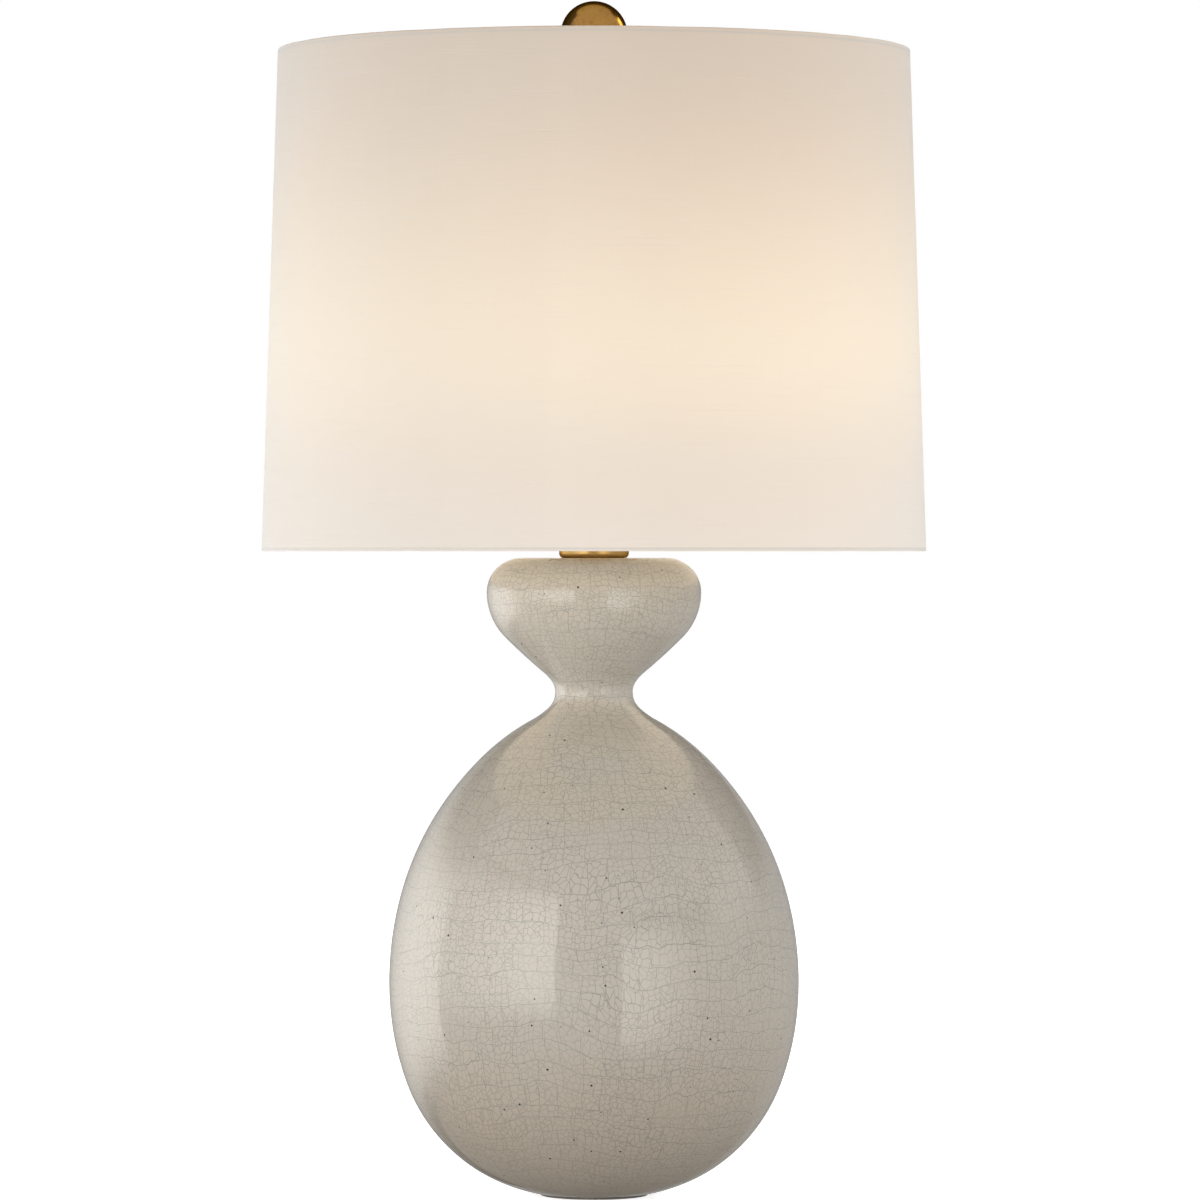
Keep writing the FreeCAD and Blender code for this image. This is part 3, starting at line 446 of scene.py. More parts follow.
class Graph:
    """Adds nodes to one tree and joins them, so that a finish reads from top to bottom."""

    def __init__(self, tree: bpy.types.NodeTree) -> None:
        """Work on one node tree."""
        self.tree = tree

    @classmethod
    def group(cls, kind: str, name: str, inputs: dict[str, float | None], *outputs: str
              ) -> tuple["Graph", dict[str, Socket], Node]:
        """Start a node group with named sockets.

        Args:
            kind: Blender's name of the tree type.
            name: Name of the group.
            inputs: Names of its inputs, and the usual values of those that have one.
            outputs: Names of its outputs.

        Returns:
            The graph, its inputs by name, and its output node.
        """
        tree = bpy.data.node_groups.new(name, kind)
        for way, labels in (("OUTPUT", outputs), ("INPUT", inputs)):
            for label in labels:
                socket_type = "NodeSocket" + SOCKET_KINDS.get(label, "Float")
                made = tree.interface.new_socket(name=label, in_out=way, socket_type=socket_type)
                if way == "INPUT" and inputs[label] is not None:
                    made.default_value = inputs[label]
        graph = cls(tree)
        entry = graph.node("NodeGroupInput")
        return graph, {item.name: item for item in entry.outputs}, graph.node("NodeGroupOutput")

    @classmethod
    def blank(cls, owner: Material | bpy.types.World) -> "Graph":
        """Empty the node tree of a material or world."""
        owner.use_nodes = True
        owner.node_tree.nodes.clear()
        return cls(owner.node_tree)

    def join(self, value: object, socket: Socket) -> None:
        """Link a socket to an input, or set the input to a plain value."""
        if isinstance(value, bpy.types.NodeSocket):
            self.tree.links.new(value, socket)
        elif socket.type == "RGBA":
            socket.default_value = (*value, 1.0)
        else:
            socket.default_value = value

    def feed(self, node: Node, values: dict[str | int, object]) -> None:
        """Join values or sockets to a node's inputs, by name or number."""
        for key, value in values.items():
            self.join(value, node.inputs[key])

    def node(self, kind: str, inputs: dict[str | int, object] | None = None, **settings: object
             ) -> Node:
        """Add a node with these inputs and properties."""
        made = self.tree.nodes.new(kind)
        for key, value in settings.items():
            setattr(made, key, value)
        self.feed(made, inputs or {})
        return made

    def result(self, kind: str, inputs: dict[str | int, object] | None = None, **settings: object
               ) -> Socket:
        """The first output of a new node."""
        return self.node(kind, inputs, **settings).outputs[0]

    def math(self, operation: str, first: object, second: object = 0.0) -> Socket:
        """A function of one or two numbers."""
        return self.result("ShaderNodeMath", {0: first, 1: second}, operation=operation)

    def total(self, *values: object) -> Socket:
        """The sum of numbers."""
        return reduce(lambda first, second: self.math("ADD", first, second), values)

    def product(self, *values: object) -> Socket:
        """The product of numbers."""
        return reduce(lambda first, second: self.math("MULTIPLY", first, second), values)

    def axis(self, vector: object, index: int) -> Socket:
        """One part of a vector."""
        return self.node("ShaderNodeSeparateXYZ", {0: vector}).outputs[index]

    def across(self, vector: object) -> Socket:
        """The distance from the Z axis."""
        squares = [self.math("POWER", self.axis(vector, index), 2.0) for index in (0, 1)]
        return self.math("SQRT", self.total(*squares))

    def channel(self, colour: object, index: int = 0) -> Socket:
        """One part of a colour."""
        return self.node("ShaderNodeSeparateColor", {0: colour}).outputs[index]

    def add(self, first: object, second: object) -> Socket:
        """The sum of two vectors."""
        return self.result("ShaderNodeVectorMath", {0: first, 1: second}, operation="ADD")

    def times(self, vector: object, factor: object) -> Socket:
        """A vector times three factors, or times one."""
        if isinstance(factor, tuple):
            inputs = {0: vector, 1: factor}
            return self.result("ShaderNodeVectorMath", inputs, operation="MULTIPLY")
        return self.result("ShaderNodeVectorMath", {0: vector, "Scale": factor}, operation="SCALE")

    def noise(self, vector: object, scale: object, detail: float = 2.0, colour: bool = False
              ) -> Socket:
        """Soft noise from 0 to 1, as a number or a colour."""
        inputs = {"Vector": vector, "Scale": scale, "Detail": detail}
        return self.node("ShaderNodeTexNoise", inputs).outputs["Color" if colour else 0]

    def ease(self, value: object, low: object, high: object, start: object = 0.0,
             end: object = 1.0) -> Socket:
        """Carry a value from one range to another along a smooth step."""
        inputs = {"Value": value, "From Min": low, "From Max": high, "To Min": start, "To Max": end}
        return self.result("ShaderNodeMapRange", inputs, interpolation_type="SMOOTHSTEP")

    def mix(self, share: object, first: object, second: object, blend: str = "MIX") -> Socket:
        """Mix two colours."""
        inputs = {0: share, 6: first, 7: second}
        return self.node("ShaderNodeMix", inputs, data_type="RGBA", blend_type=blend).outputs[2]

    def shade(self, colour: object, share: Socket) -> Socket:
        """A colour times a number."""
        grey = self.result("ShaderNodeCombineColor", {0: share, 1: share, 2: share})
        return self.mix(1.0, colour, grey, "MULTIPLY")

    def ramp(self, share: Socket, stops: Sequence[tuple[float, Colour]]) -> Socket:
        """A colour that follows a share through a few stops."""
        made = self.node("ShaderNodeValToRGB", {0: share})
        made.color_ramp.interpolation = "B_SPLINE"
        elements = made.color_ramp.elements
        while len(elements) < len(stops):
            elements.new(1.0)
        for element, (place, colour) in zip(elements, stops):
            element.position, element.color = place, (*colour, 1.0)
        return made.outputs[0]

    def bump(self, height: object, distance: object, strength: float = 1.0) -> Socket:
        """A surface normal from a height."""
        inputs = {"Strength": strength, "Distance": distance, "Height": height}
        return self.result("ShaderNodeBump", inputs)

    def effect(self, which: Effect, **values: object) -> dict[str, Socket]:
        """The outputs of a shared effect, placed with its own values."""
        made = self.node("ShaderNodeGroup", node_tree=bpy.data.node_groups[which.value])
        self.feed(made, {key.capitalize(): value for key, value in values.items()})
        return {item.name: item for item in made.outputs}

    def mottle(self, vector: Socket, **values: float) -> Socket:
        """The mask of cloudy patches."""
        return self.effect(Effect.MOTTLE, vector=vector, **values)["Mask"]


class Effects:
    """Builds the shader node groups that finishes share."""

    def build(self) -> None:
        """Build every shared group once."""
        self.build_mottle()
        self.build_relief(Effect.GRAIN, 900.0, 0.00005, 3.0)
        self.build_relief(Effect.TURNING_LINES, 2500.0, 0.00001, 2.0)

    def build_mottle(self) -> None:
        """Cloudy patches with finer ones inside, as in patina, wear and stains."""
        usual = {"Vector": None, "Scale": 40.0, "Low": 0.35, "High": 0.65}
        graph, given, out = Graph.group("ShaderNodeTree", Effect.MOTTLE.value, usual, "Mask")
        broad = graph.noise(given["Vector"], given["Scale"], detail=5.0)
        fine = graph.noise(given["Vector"], graph.product(given["Scale"], 6.0), detail=3.0)
        both = graph.total(graph.product(broad, 0.75), graph.product(fine, 0.25))
        graph.feed(out, {"Mask": graph.ease(both, given["Low"], given["High"])})

    def build_relief(self, effect: Effect, scale: float, depth: float, detail: float) -> None:
        """A pebbled skin, or the fine rings round the Z axis that a lathe tool leaves."""
        usual = {"Vector": None, "Scale": scale, "Depth": depth}
        graph, given, out = Graph.group("ShaderNodeTree", effect.value, usual, "Normal", "Mask")
        spot = given["Vector"]
        if effect is Effect.TURNING_LINES:
            parts = {0: graph.across(spot), 2: graph.axis(spot, 2)}
            spot = graph.result("ShaderNodeCombineXYZ", parts)
        height = graph.noise(spot, given["Scale"], detail)
        graph.feed(out, {"Normal": graph.bump(height, given["Depth"]), "Mask": height})


@dataclass(frozen=True)
class Finish:
    """The finish of one material slot."""

    slot: Slot

    def build(self) -> Material:
        """Make the material, and feed its look to the shader."""
        material = bpy.data.materials.new(self.slot.value)
        material.use_nodes = True
        graph = Graph(material.node_tree)
        place = graph.node("ShaderNodeTexCoord").outputs["Object"]
        graph.feed(material.node_tree.nodes["Principled BSDF"], self.look(graph, place))
        return material

    def look(self, graph: Graph, place: Socket) -> dict[str, object]:
        """What goes into the shader's inputs, by name, from the Object coordinates."""
        raise NotImplementedError


@dataclass(frozen=True)
class Metal(Finish):
    """A metal with patches of patina, turning lines or grain, and uneven gloss."""

    bright: Colour
    dull: Colour
    gloss: float = 0.18
    rough: float = 0.38
    patches: float = 60.0
    turned: bool = False
    depth: float = 0.00001
    smudges: float = 2.3

    def look(self, graph: Graph, place: Socket) -> dict[str, object]:
        """Patina and fine lines in the tone, smudges in the gloss."""
        patina = graph.mottle(place, scale=self.patches)
        smudge = graph.mottle(place, scale=self.patches * self.smudges, low=0.4, high=0.7)
        relief = Effect.TURNING_LINES if self.turned else Effect.GRAIN
        lines = graph.effect(relief, vector=place, depth=self.depth)
        tone = graph.mix(patina, self.bright, self.dull)
        return {"Base Color": graph.shade(tone, graph.ease(lines["Mask"], 0.3, 0.7, 0.9, 1.06)),
                "Roughness": graph.ease(smudge, 0.0, 1.0, self.gloss, self.rough),
                "Normal": lines["Normal"], "Metallic": 1.0}


@dataclass(frozen=True)
class AgedBrass(Finish):
    """Brass that is still golden low down and has aged to a mottled bronze on the finial."""

    gold: Colour = (0.78, 0.52, 0.20)
    tarnish: Colour = (0.34, 0.19, 0.065)
    bronze: Colour = (0.60, 0.32, 0.085)
    patina: Colour = (0.10, 0.048, 0.018)
    aged_from: float = 0.60
    edge: Colour = (0.30, 0.17, 0.08)
    shares: tuple[float, float, float] = (0.22, 0.20, 0.22)
    smoother: float = 0.11

    def look(self, graph: Graph, place: Socket) -> dict[str, object]:
        """Patches and specks of patina, and a smoother finial."""
        aged = graph.math("GREATER_THAN", graph.axis(place, 2), self.aged_from)
        patches = graph.mottle(place, scale=70.0, low=0.38, high=0.66)
        specks = graph.mottle(place, scale=320.0, low=0.50, high=0.68)
        lines = graph.effect(Effect.TURNING_LINES, vector=place, scale=1800.0, depth=0.000012)
        dulled, clouded, specked = self.shares
        new = graph.mix(graph.product(patches, dulled), self.gold, self.tarnish)
        old = graph.mix(graph.product(patches, clouded), self.bronze, self.patina)
        old = graph.mix(graph.product(specks, specked), old, self.patina)
        rough = graph.ease(specks, 0.0, 1.0, 0.28, 0.40)
        rough = graph.math("SUBTRACT", rough, graph.product(aged, self.smoother))
        return {"Base Color": graph.mix(aged, new, old), "Roughness": rough,
                "Normal": lines["Normal"], "Metallic": 1.0, "Specular Tint": self.edge}


@dataclass(frozen=True)
class Moulded(Finish):
    """Plastic, rubber or lacquer with a fine grain and faint clouding."""

    pale: Colour
    deep: Colour
    roughness: float = 0.45
    grain: float = 1500.0
    depth: float = 0.00003
    coat: float = 0.0
    glow: Colour = BLACK
    unevenness: float = 0.08

    def look(self, graph: Graph, place: Socket) -> dict[str, object]:
        """A clouded tone under a grained skin."""
        cloud = graph.mottle(place, scale=35.0)
        skin = graph.effect(Effect.GRAIN, vector=place, scale=self.grain, depth=self.depth)
        rough = graph.ease(skin["Mask"], 0.2, 0.8, self.roughness - self.unevenness,
                           self.roughness + self.unevenness)
        parts = {"Base Color": graph.mix(cloud, self.pale, self.deep), "Roughness": rough,
                 "Normal": skin["Normal"], "Coat Weight": self.coat}
        # A glow is painted light: light that falls on the piece, given as emission.
        if self.glow != BLACK:
            parts |= {"Emission Color": self.glow, "Emission Strength": 1.0}
        return parts


@dataclass(frozen=True)
class Pressed(Finish):
    """Pressed paper, fibre or felt: short matted strands in several tones."""

    pale: Colour
    deep: Colour
    strand: float = 0.0009
    depth: float = 0.00012
    sheen: float = 0.0
    drawn_out: float = 0.35

    def look(self, graph: Graph, place: Socket) -> dict[str, object]:
        """Strands that cross, with painted shade: paler where they lie on top, darker below."""
        bent = graph.add(place, graph.times(graph.noise(place, 400.0, colour=True), 0.004))
        ways = ((1.0, self.drawn_out, 1.0), (self.drawn_out, 1.0, 1.0))
        strands = [graph.noise(graph.times(bent, way), 1 / self.strand, detail=4.0) for way in ways]
        height = graph.math("MAXIMUM", *strands)
        cloud = graph.mottle(place, scale=90.0)
        # Painted shade: strands lower in the mat are darker.
        tone = graph.mix(graph.ease(height, 0.4, 0.7), self.deep, self.pale)
        return {"Base Color": graph.mix(graph.product(cloud, 0.25), tone, self.deep),
                "Roughness": graph.ease(height, 0.3, 0.8, 0.75, 0.95),
                "Normal": graph.bump(height, self.depth), "Sheen Weight": self.sheen}


@dataclass(frozen=True)
class Glassy(Finish):
    """Glass of the bulb: frosted and glowing, clear, or black."""

    tint: Colour
    roughness: float
    transmission: float = 0.0
    glow: Colour = BLACK
    strength: float = 0.0
    unevenness: float = 0.08
    haze: float = 0.92

    def look(self, graph: Graph, place: Socket) -> dict[str, object]:
        """A faint haze and the fine waves of blown glass."""
        haze = graph.mottle(place, scale=70.0)
        skin = graph.effect(Effect.GRAIN, vector=place, scale=2200.0, depth=0.000008)
        faded = tuple(value * self.haze for value in self.tint)
        rough = graph.ease(haze, 0.0, 1.0, self.roughness, self.roughness + self.unevenness)
        return {"Base Color": graph.mix(haze, self.tint, faded), "Roughness": rough,
                "Normal": skin["Normal"], "Transmission Weight": self.transmission,
                "Emission Color": self.glow, "Emission Strength": self.strength}


@dataclass(frozen=True)
class CrackleGlaze(Finish):
    """A glossy greige glaze with a net of stained cracks and a few pinholes.

    Long wavy cracks run round the body in bands. Short ones cross each band, and the finest
    end on those, because every order of cracks starts afresh in each cell of the last. The
    tones are painted shade by height: darker at the foot and around the shoulder, lighter under the
    upper gourd."""

    girth: tuple[Point, ...] = ()
    cool: Colour = (0.563, 0.523, 0.455)
    warm: Colour = (0.563, 0.488, 0.398)
    stain: Colour = (0.165, 0.180, 0.165)
    pit: Colour = (0.018, 0.015, 0.013)
    # Painted shade by height: darker at the foot and around the shoulder, lighter under the upper
    # gourd.
    tones: tuple[Point, ...] = ((0.0, 0.785), (0.10, 0.91), (0.19, 0.91), (0.25, 0.785),
                                (0.30, 0.785), (0.34, 0.91), (0.38, 0.99), (0.42, 0.91))
    band: float = 0.0120
    wave: float = 0.046
    swing: float = 0.016
    ripple: float = 0.007
    cross: float = 0.0125
    sway: float = 0.010
    shake: float = 0.0040
    cell: float = 0.0043
    sliver: float = 0.0032
    sliver_share: float = 0.20
    line: float = 0.00028
    pit_spacing: float = 0.0094
    pit_radius: float = 0.00076

    def look(self, graph: Graph, place: Socket) -> dict[str, object]:
        """Warmer low down, with a painted warm cast to the right and painted shade by height, stained
        along the cracks, under a clear coat.
        """
        cracks = self.cracks(graph, place)
        pits, halo = self.pits(graph, place)
        cloud = graph.mottle(place, scale=9.0, low=0.3, high=0.7)
        blotch = graph.mottle(place, scale=55.0)
        level = graph.axis(place, 2)
        low_down = graph.ease(level, 0.03, 0.15, 0.80, 0.0)
        # A painted warm cast towards the right side, offsetting the cool light there.
        painted_warm_right = graph.ease(graph.axis(place, 0), 0.02, 0.13, 0.0, 0.40)
        warmth = graph.total(graph.product(cloud, 0.35), low_down, painted_warm_right)
        tone = graph.mix(warmth, self.cool, self.warm)
        for share, colour in ((graph.product(blotch, 0.12), self.warm),
                              (graph.product(cracks, 0.64), self.stain),
                              (graph.product(halo, 0.20), self.cool), (pits, self.pit)):
            tone = graph.mix(share, tone, colour)
        # Painted shade: the tone is darkened and lightened by height.
        depth = graph.ramp(level, [(rise, (light,) * 3) for rise, light in self.tones])
        dents = graph.total(graph.product(cracks, 0.25), pits)
        swell = graph.product(graph.noise(place, 16.0), 6.0)
        return {"Base Color": graph.mix(1.0, tone, depth, "MULTIPLY"),
                "Roughness": graph.ease(cloud, 0.0, 1.0, 0.32, 0.42),
                "Normal": graph.bump(graph.math("SUBTRACT", swell, dents), 0.00010, 0.6),
                "Coat Weight": 1.0, "Coat Roughness": 0.035, "Coat IOR": 1.52}

    def band_radius(self, graph: Graph, walked: Socket) -> Socket:
        """The body's radius at a distance along its outline."""
        length, widest = self.girth[-1][0], max(radius for _, radius in self.girth)
        share = graph.math("DIVIDE", walked, length)
        made = graph.node("ShaderNodeFloatCurve", {"Value": share})
        points = made.mapping.curves[0].points
        points[0].location = (0.0, self.girth[0][1] / widest)
        points[1].location = (1.0, self.girth[-1][1] / widest)
        for way, radius in self.girth[1:-1]:
            points.new(way / length, radius / widest)
        made.mapping.update()
        return graph.product(made.outputs[0], widest)

    @staticmethod
    def cells(graph: Graph, spot: Socket, width: float, on_line: bool = False
              ) -> tuple[Socket, Socket, Socket]:
        """Cells of a mean width, on the surface or along a line.

        Args:
            graph: The material's graph.
            spot: The place on the surface, or the way along the line, in metres.
            width: The mean width of a cell.
            on_line: Whether they are cells along a line.

        Returns:
            The gap to the nearest edge, the cell's number, and its middle.
        """
        kind, inputs = "2D", {"Vector": spot, "Scale": 1 / width, "Randomness": 0.9}
        if on_line:
            kind, inputs = "1D", {"W": graph.math("DIVIDE", spot, width), "Scale": 1.0}
        edge, whole = [graph.node("ShaderNodeTexVoronoi", inputs, voronoi_dimensions=kind,
                                  feature=feature).outputs for feature in ("DISTANCE_TO_EDGE", "F1")]
        middle = whole["W" if on_line else "Position"]
        return graph.product(edge["Distance"], width), graph.channel(whole["Color"]), middle

    def cracks(self, graph: Graph, place: Socket) -> Socket:
        """The net of cracks: how much of a crack there is, from 0 to 1."""
        walked = graph.axis(graph.result("ShaderNodeUVMap", uv_map="surface"), 1)
        shaken = graph.noise(place, 110.0, colour=True)
        sway = graph.product(graph.noise(place, 30.0), self.sway)
        turned = graph.math("ARCTAN2", graph.axis(place, 0), graph.product(graph.axis(place, 1), -1.0))
        turned = graph.total(turned, graph.math("DIVIDE", sway, graph.across(place)))
        slow = graph.total(graph.product(graph.noise(place, 8.0, detail=1.0), self.wave),
                           graph.product(graph.noise(place, 24.0, detail=1.0), self.swing))
        quick = graph.product(graph.noise(place, 55.0), self.ripple)
        walked = graph.total(walked, graph.total(slow, quick))
        gap, number, middle = self.cells(graph, walked, self.band, True)
        long = self.crack(graph, gap, 0.92)
        middle = graph.math("SUBTRACT", graph.product(middle, self.band), self.wave / 2)
        side = graph.product(turned, self.band_radius(graph, middle))
        side = graph.total(side, graph.product(number, 7.0))
        gap, crossed, _ = self.cells(graph, side, self.cross, True)
        short = graph.math("MAXIMUM", long, self.crack(graph, gap, 0.88))
        strength = graph.ease(graph.noise(place, 20.0), 0.32, 0.60, 0.60, 1.0)
        short = graph.product(short, graph.ease(strength, 0.0, 1.0, 0.55, 1.0))
        shift = graph.product(graph.total(number, crossed), 3.0)
        side = graph.total(side, graph.product(graph.channel(shaken, 0), self.shake))
        walked = graph.total(walked, graph.product(graph.channel(shaken, 1), self.shake))
        spot = graph.result("ShaderNodeCombineXYZ", {
            0: graph.total(side, shift), 1: graph.math("SUBTRACT", walked, shift)})
        gap, number, _ = self.cells(graph, spot, self.cell)
        fine = graph.product(self.crack(graph, gap, 0.90), strength)
        spot = graph.add(spot, graph.times(number, (5.0, 3.0, 0.0)))
        gap, _, _ = self.cells(graph, spot, self.sliver)
        chosen = graph.math("LESS_THAN", number, self.sliver_share)
        finest = graph.product(self.crack(graph, gap, 0.75), chosen, strength)
        return graph.math("MAXIMUM", graph.math("MAXIMUM", short, fine), finest)

    def crack(self, graph: Graph, gap: Socket, share: float) -> Socket:
        """One order of cracks from the distance to them, in metres."""
        return graph.ease(gap, self.line * share * 0.35, self.line * share, share, 0.0)

    def pits(self, graph: Graph, place: Socket) -> tuple[Socket, Socket]:
        """Pinholes of several sizes, and the pale ring round each."""
        inputs = {"Vector": place, "Scale": 1 / self.pit_spacing}
        whole = graph.node("ShaderNodeTexVoronoi", inputs).outputs
        size = graph.ease(graph.channel(whole["Color"]), 0.2, 1.0, 0.45, 1.20)
        gap = graph.product(whole["Distance"], self.pit_spacing)
        off = graph.math("DIVIDE", gap, graph.product(size, self.pit_radius))
        return graph.ease(off, 0.7, 1.1, 1.0, 0.0), graph.ease(off, 1.4, 3.0, 1.0, 0.0)


@dataclass(frozen=True)
class Linen(Finish):
    """Slubby linen with the bulb's light through it painted on as a glow: warm and bright in the
    middle, cooler below.
    """

    pale: Colour = (0.440, 0.440, 0.434)
    deep: Colour = (0.410, 0.408, 0.400)
    painted_glow_stops: tuple[tuple[float, Colour], ...] = (
        (0.0, (0.385, 0.308, 0.232)), (0.19, (0.388, 0.282, 0.188)), (0.40, (0.542, 0.405, 0.234)),
        (0.72, (0.338, 0.210, 0.096)), (1.0, (0.222, 0.132, 0.054)))
    shadow: Colour = (0.10, 0.08, 0.06)
    sheen: Colour = (0.75, 0.90, 1.0)
    round_length: float = 1.343
    thread: float = 0.00062
    slub: float = 0.045
    painted_glow_middle: float = 0.06

    def look(self, graph: Graph, place: Socket) -> dict[str, object]:
        """Threads and slubs in tone and relief, with painted shade between the threads; the bulb's
        light painted on as a glow, brighter to the right; and the painted shadows of the wires.
        """
        low, high, _ = span("shade_fabric")
        along = graph.result("ShaderNodeUVMap", uv_map="surface")
        cloth = graph.times(along, (self.round_length, 1.0, 1.0))
        weft = graph.times(cloth, (1 / self.slub, 1 / self.thread, 0.0))
        warp = graph.times(cloth, (1 / self.thread, 1 / self.slub, 0.0))
        slub = graph.noise(graph.times(cloth, (9.0, 900.0, 0.0)), 1.0)
        height = graph.total(graph.product(graph.noise(weft, 1.0, detail=3.0), 0.65),
                             graph.product(graph.noise(warp, 1.0, detail=3.0), 0.35),
                             graph.product(graph.ease(slub, 0.56, 0.74), 0.45))
        # Painted shade: the tone is paler on raised threads and darker between them.
        tone = graph.mix(graph.ease(height, 0.35, 0.75), self.deep, self.pale)
        level, aside = graph.axis(place, 2), graph.axis(place, 0)
        # Painted glow: the bulb's light through the cloth, set by height, stronger through thin weave,
        # brighter towards the right side and dimmer away from its middle.
        share = graph.result("ShaderNodeMapRange", {"Value": level, "From Min": low, "From Max": high})
        off = graph.math("ABSOLUTE", graph.math("SUBTRACT", aside, self.painted_glow_middle))
        power = graph.product(graph.ease(height, 0.30, 0.90, 1.05, 0.93),
                              graph.ease(aside, -0.12, 0.17, 0.95, 1.16),
                              graph.ease(off, 0.07, 0.21, 0.955, 0.87))
        light = graph.shade(graph.ramp(share, self.painted_glow_stops), power)
        # Painted shadows of the wire rings inside the hems, darkening the glow.
        painted_ring_shadows = [self.wire(graph, level, node) for node in ("shade_bottom_ring", "shade_top_ring")]
        painted_ring_shadow_share = graph.product(graph.math("MAXIMUM", *painted_ring_shadows), 0.45)
        return {"Base Color": tone, "Roughness": 0.9, "Sheen Weight": 0.35,
                "Sheen Roughness": 0.45, "Sheen Tint": self.sheen,
                "Normal": graph.bump(height, 0.00018, 0.7),
                "Emission Color": graph.mix(painted_ring_shadow_share, light, self.shadow), "Emission Strength": 1.0}

    @staticmethod
    def wire(graph: Graph, level: Socket, node: str) -> Socket:
        """The shadow that a wire ring throws on the cloth over it."""
        ring = Room.of(node)
        off = graph.math("SUBTRACT", level, ring.low.z + ring.height * 0.3)
        return graph.ease(graph.math("ABSOLUTE", off), 0.0002, 0.0011, 1.0, 0.0)


def finishes() -> list[Finish]:
    """Every finish of the lamp, one for each material slot."""
    return [
        Pressed(Slot.FELT, (0.42, 0.38, 0.33), (0.27, 0.24, 0.205), strand=0.0007, depth=0.0002,
                sheen=0.4),
        CrackleGlaze(Slot.CRACKLE_GLAZE, CeramicBody().girth()),
        Pressed(Slot.FIBRE, (0.24, 0.075, 0.040), (0.14, 0.040, 0.022)),
        Metal(Slot.ZINC_STEEL, (0.62, 0.61, 0.58), (0.42, 0.41, 0.38), gloss=0.25, rough=0.45),
        Moulded(Slot.BUSHING_PLASTIC, (0.60, 0.55, 0.46), (0.54, 0.49, 0.40), roughness=0.40),
        Moulded(Slot.GASKET_RUBBER, (0.020, 0.020, 0.020), (0.012, 0.012, 0.012), roughness=0.75),
        AgedBrass(Slot.AGED_BRASS),
        Metal(Slot.HARP_BRASS, (0.74, 0.53, 0.25), (0.50, 0.32, 0.12), gloss=0.20, rough=0.34,
              patches=50.0),
        Metal(Slot.SOCKET_BRASS, (0.80, 0.58, 0.26), (0.58, 0.38, 0.14), gloss=0.16, rough=0.30,
              turned=True),
        Pressed(Slot.SOCKET_PAPER, (0.48, 0.36, 0.23), (0.36, 0.26, 0.15)),
        Moulded(Slot.PHENOLIC, (0.014, 0.011, 0.009), (0.024, 0.017, 0.012), roughness=0.35),
        Metal(Slot.SHELL_ALUMINIUM, (0.78, 0.78, 0.77), (0.60, 0.60, 0.59), gloss=0.22, rough=0.40,
              patches=90.0, turned=True),
        Moulded(Slot.KNOB_PLASTIC, (0.010, 0.009, 0.008), (0.016, 0.014, 0.012), roughness=0.22),
        Glassy(Slot.FROSTED_GLASS, (0.46, 0.42, 0.36), roughness=0.35, glow=(1.0, 0.83, 0.58),
               strength=0.55),
        Glassy(Slot.INSULATOR_GLASS, (0.010, 0.010, 0.013), roughness=0.08),
        Glassy(Slot.STEM_GLASS, (0.90, 0.94, 0.94), roughness=0.03, transmission=0.9),
        Metal(Slot.FILAMENT_WIRE, (0.30, 0.29, 0.27), (0.18, 0.17, 0.16), gloss=0.3, rough=0.5),
        Linen(Slot.LINEN),
        # The liner's glow is painted light: the bulb's light on its inside, as emission.
        Moulded(Slot.STYRENE, (0.86, 0.84, 0.78), (0.85, 0.825, 0.76), grain=900.0, depth=0.00002,
                glow=(0.24, 0.185, 0.120)),
        Moulded(Slot.RING_WIRE, (0.78, 0.75, 0.68), (0.70, 0.66, 0.58), roughness=0.35,
                grain=1200.0, coat=0.3),
    ]


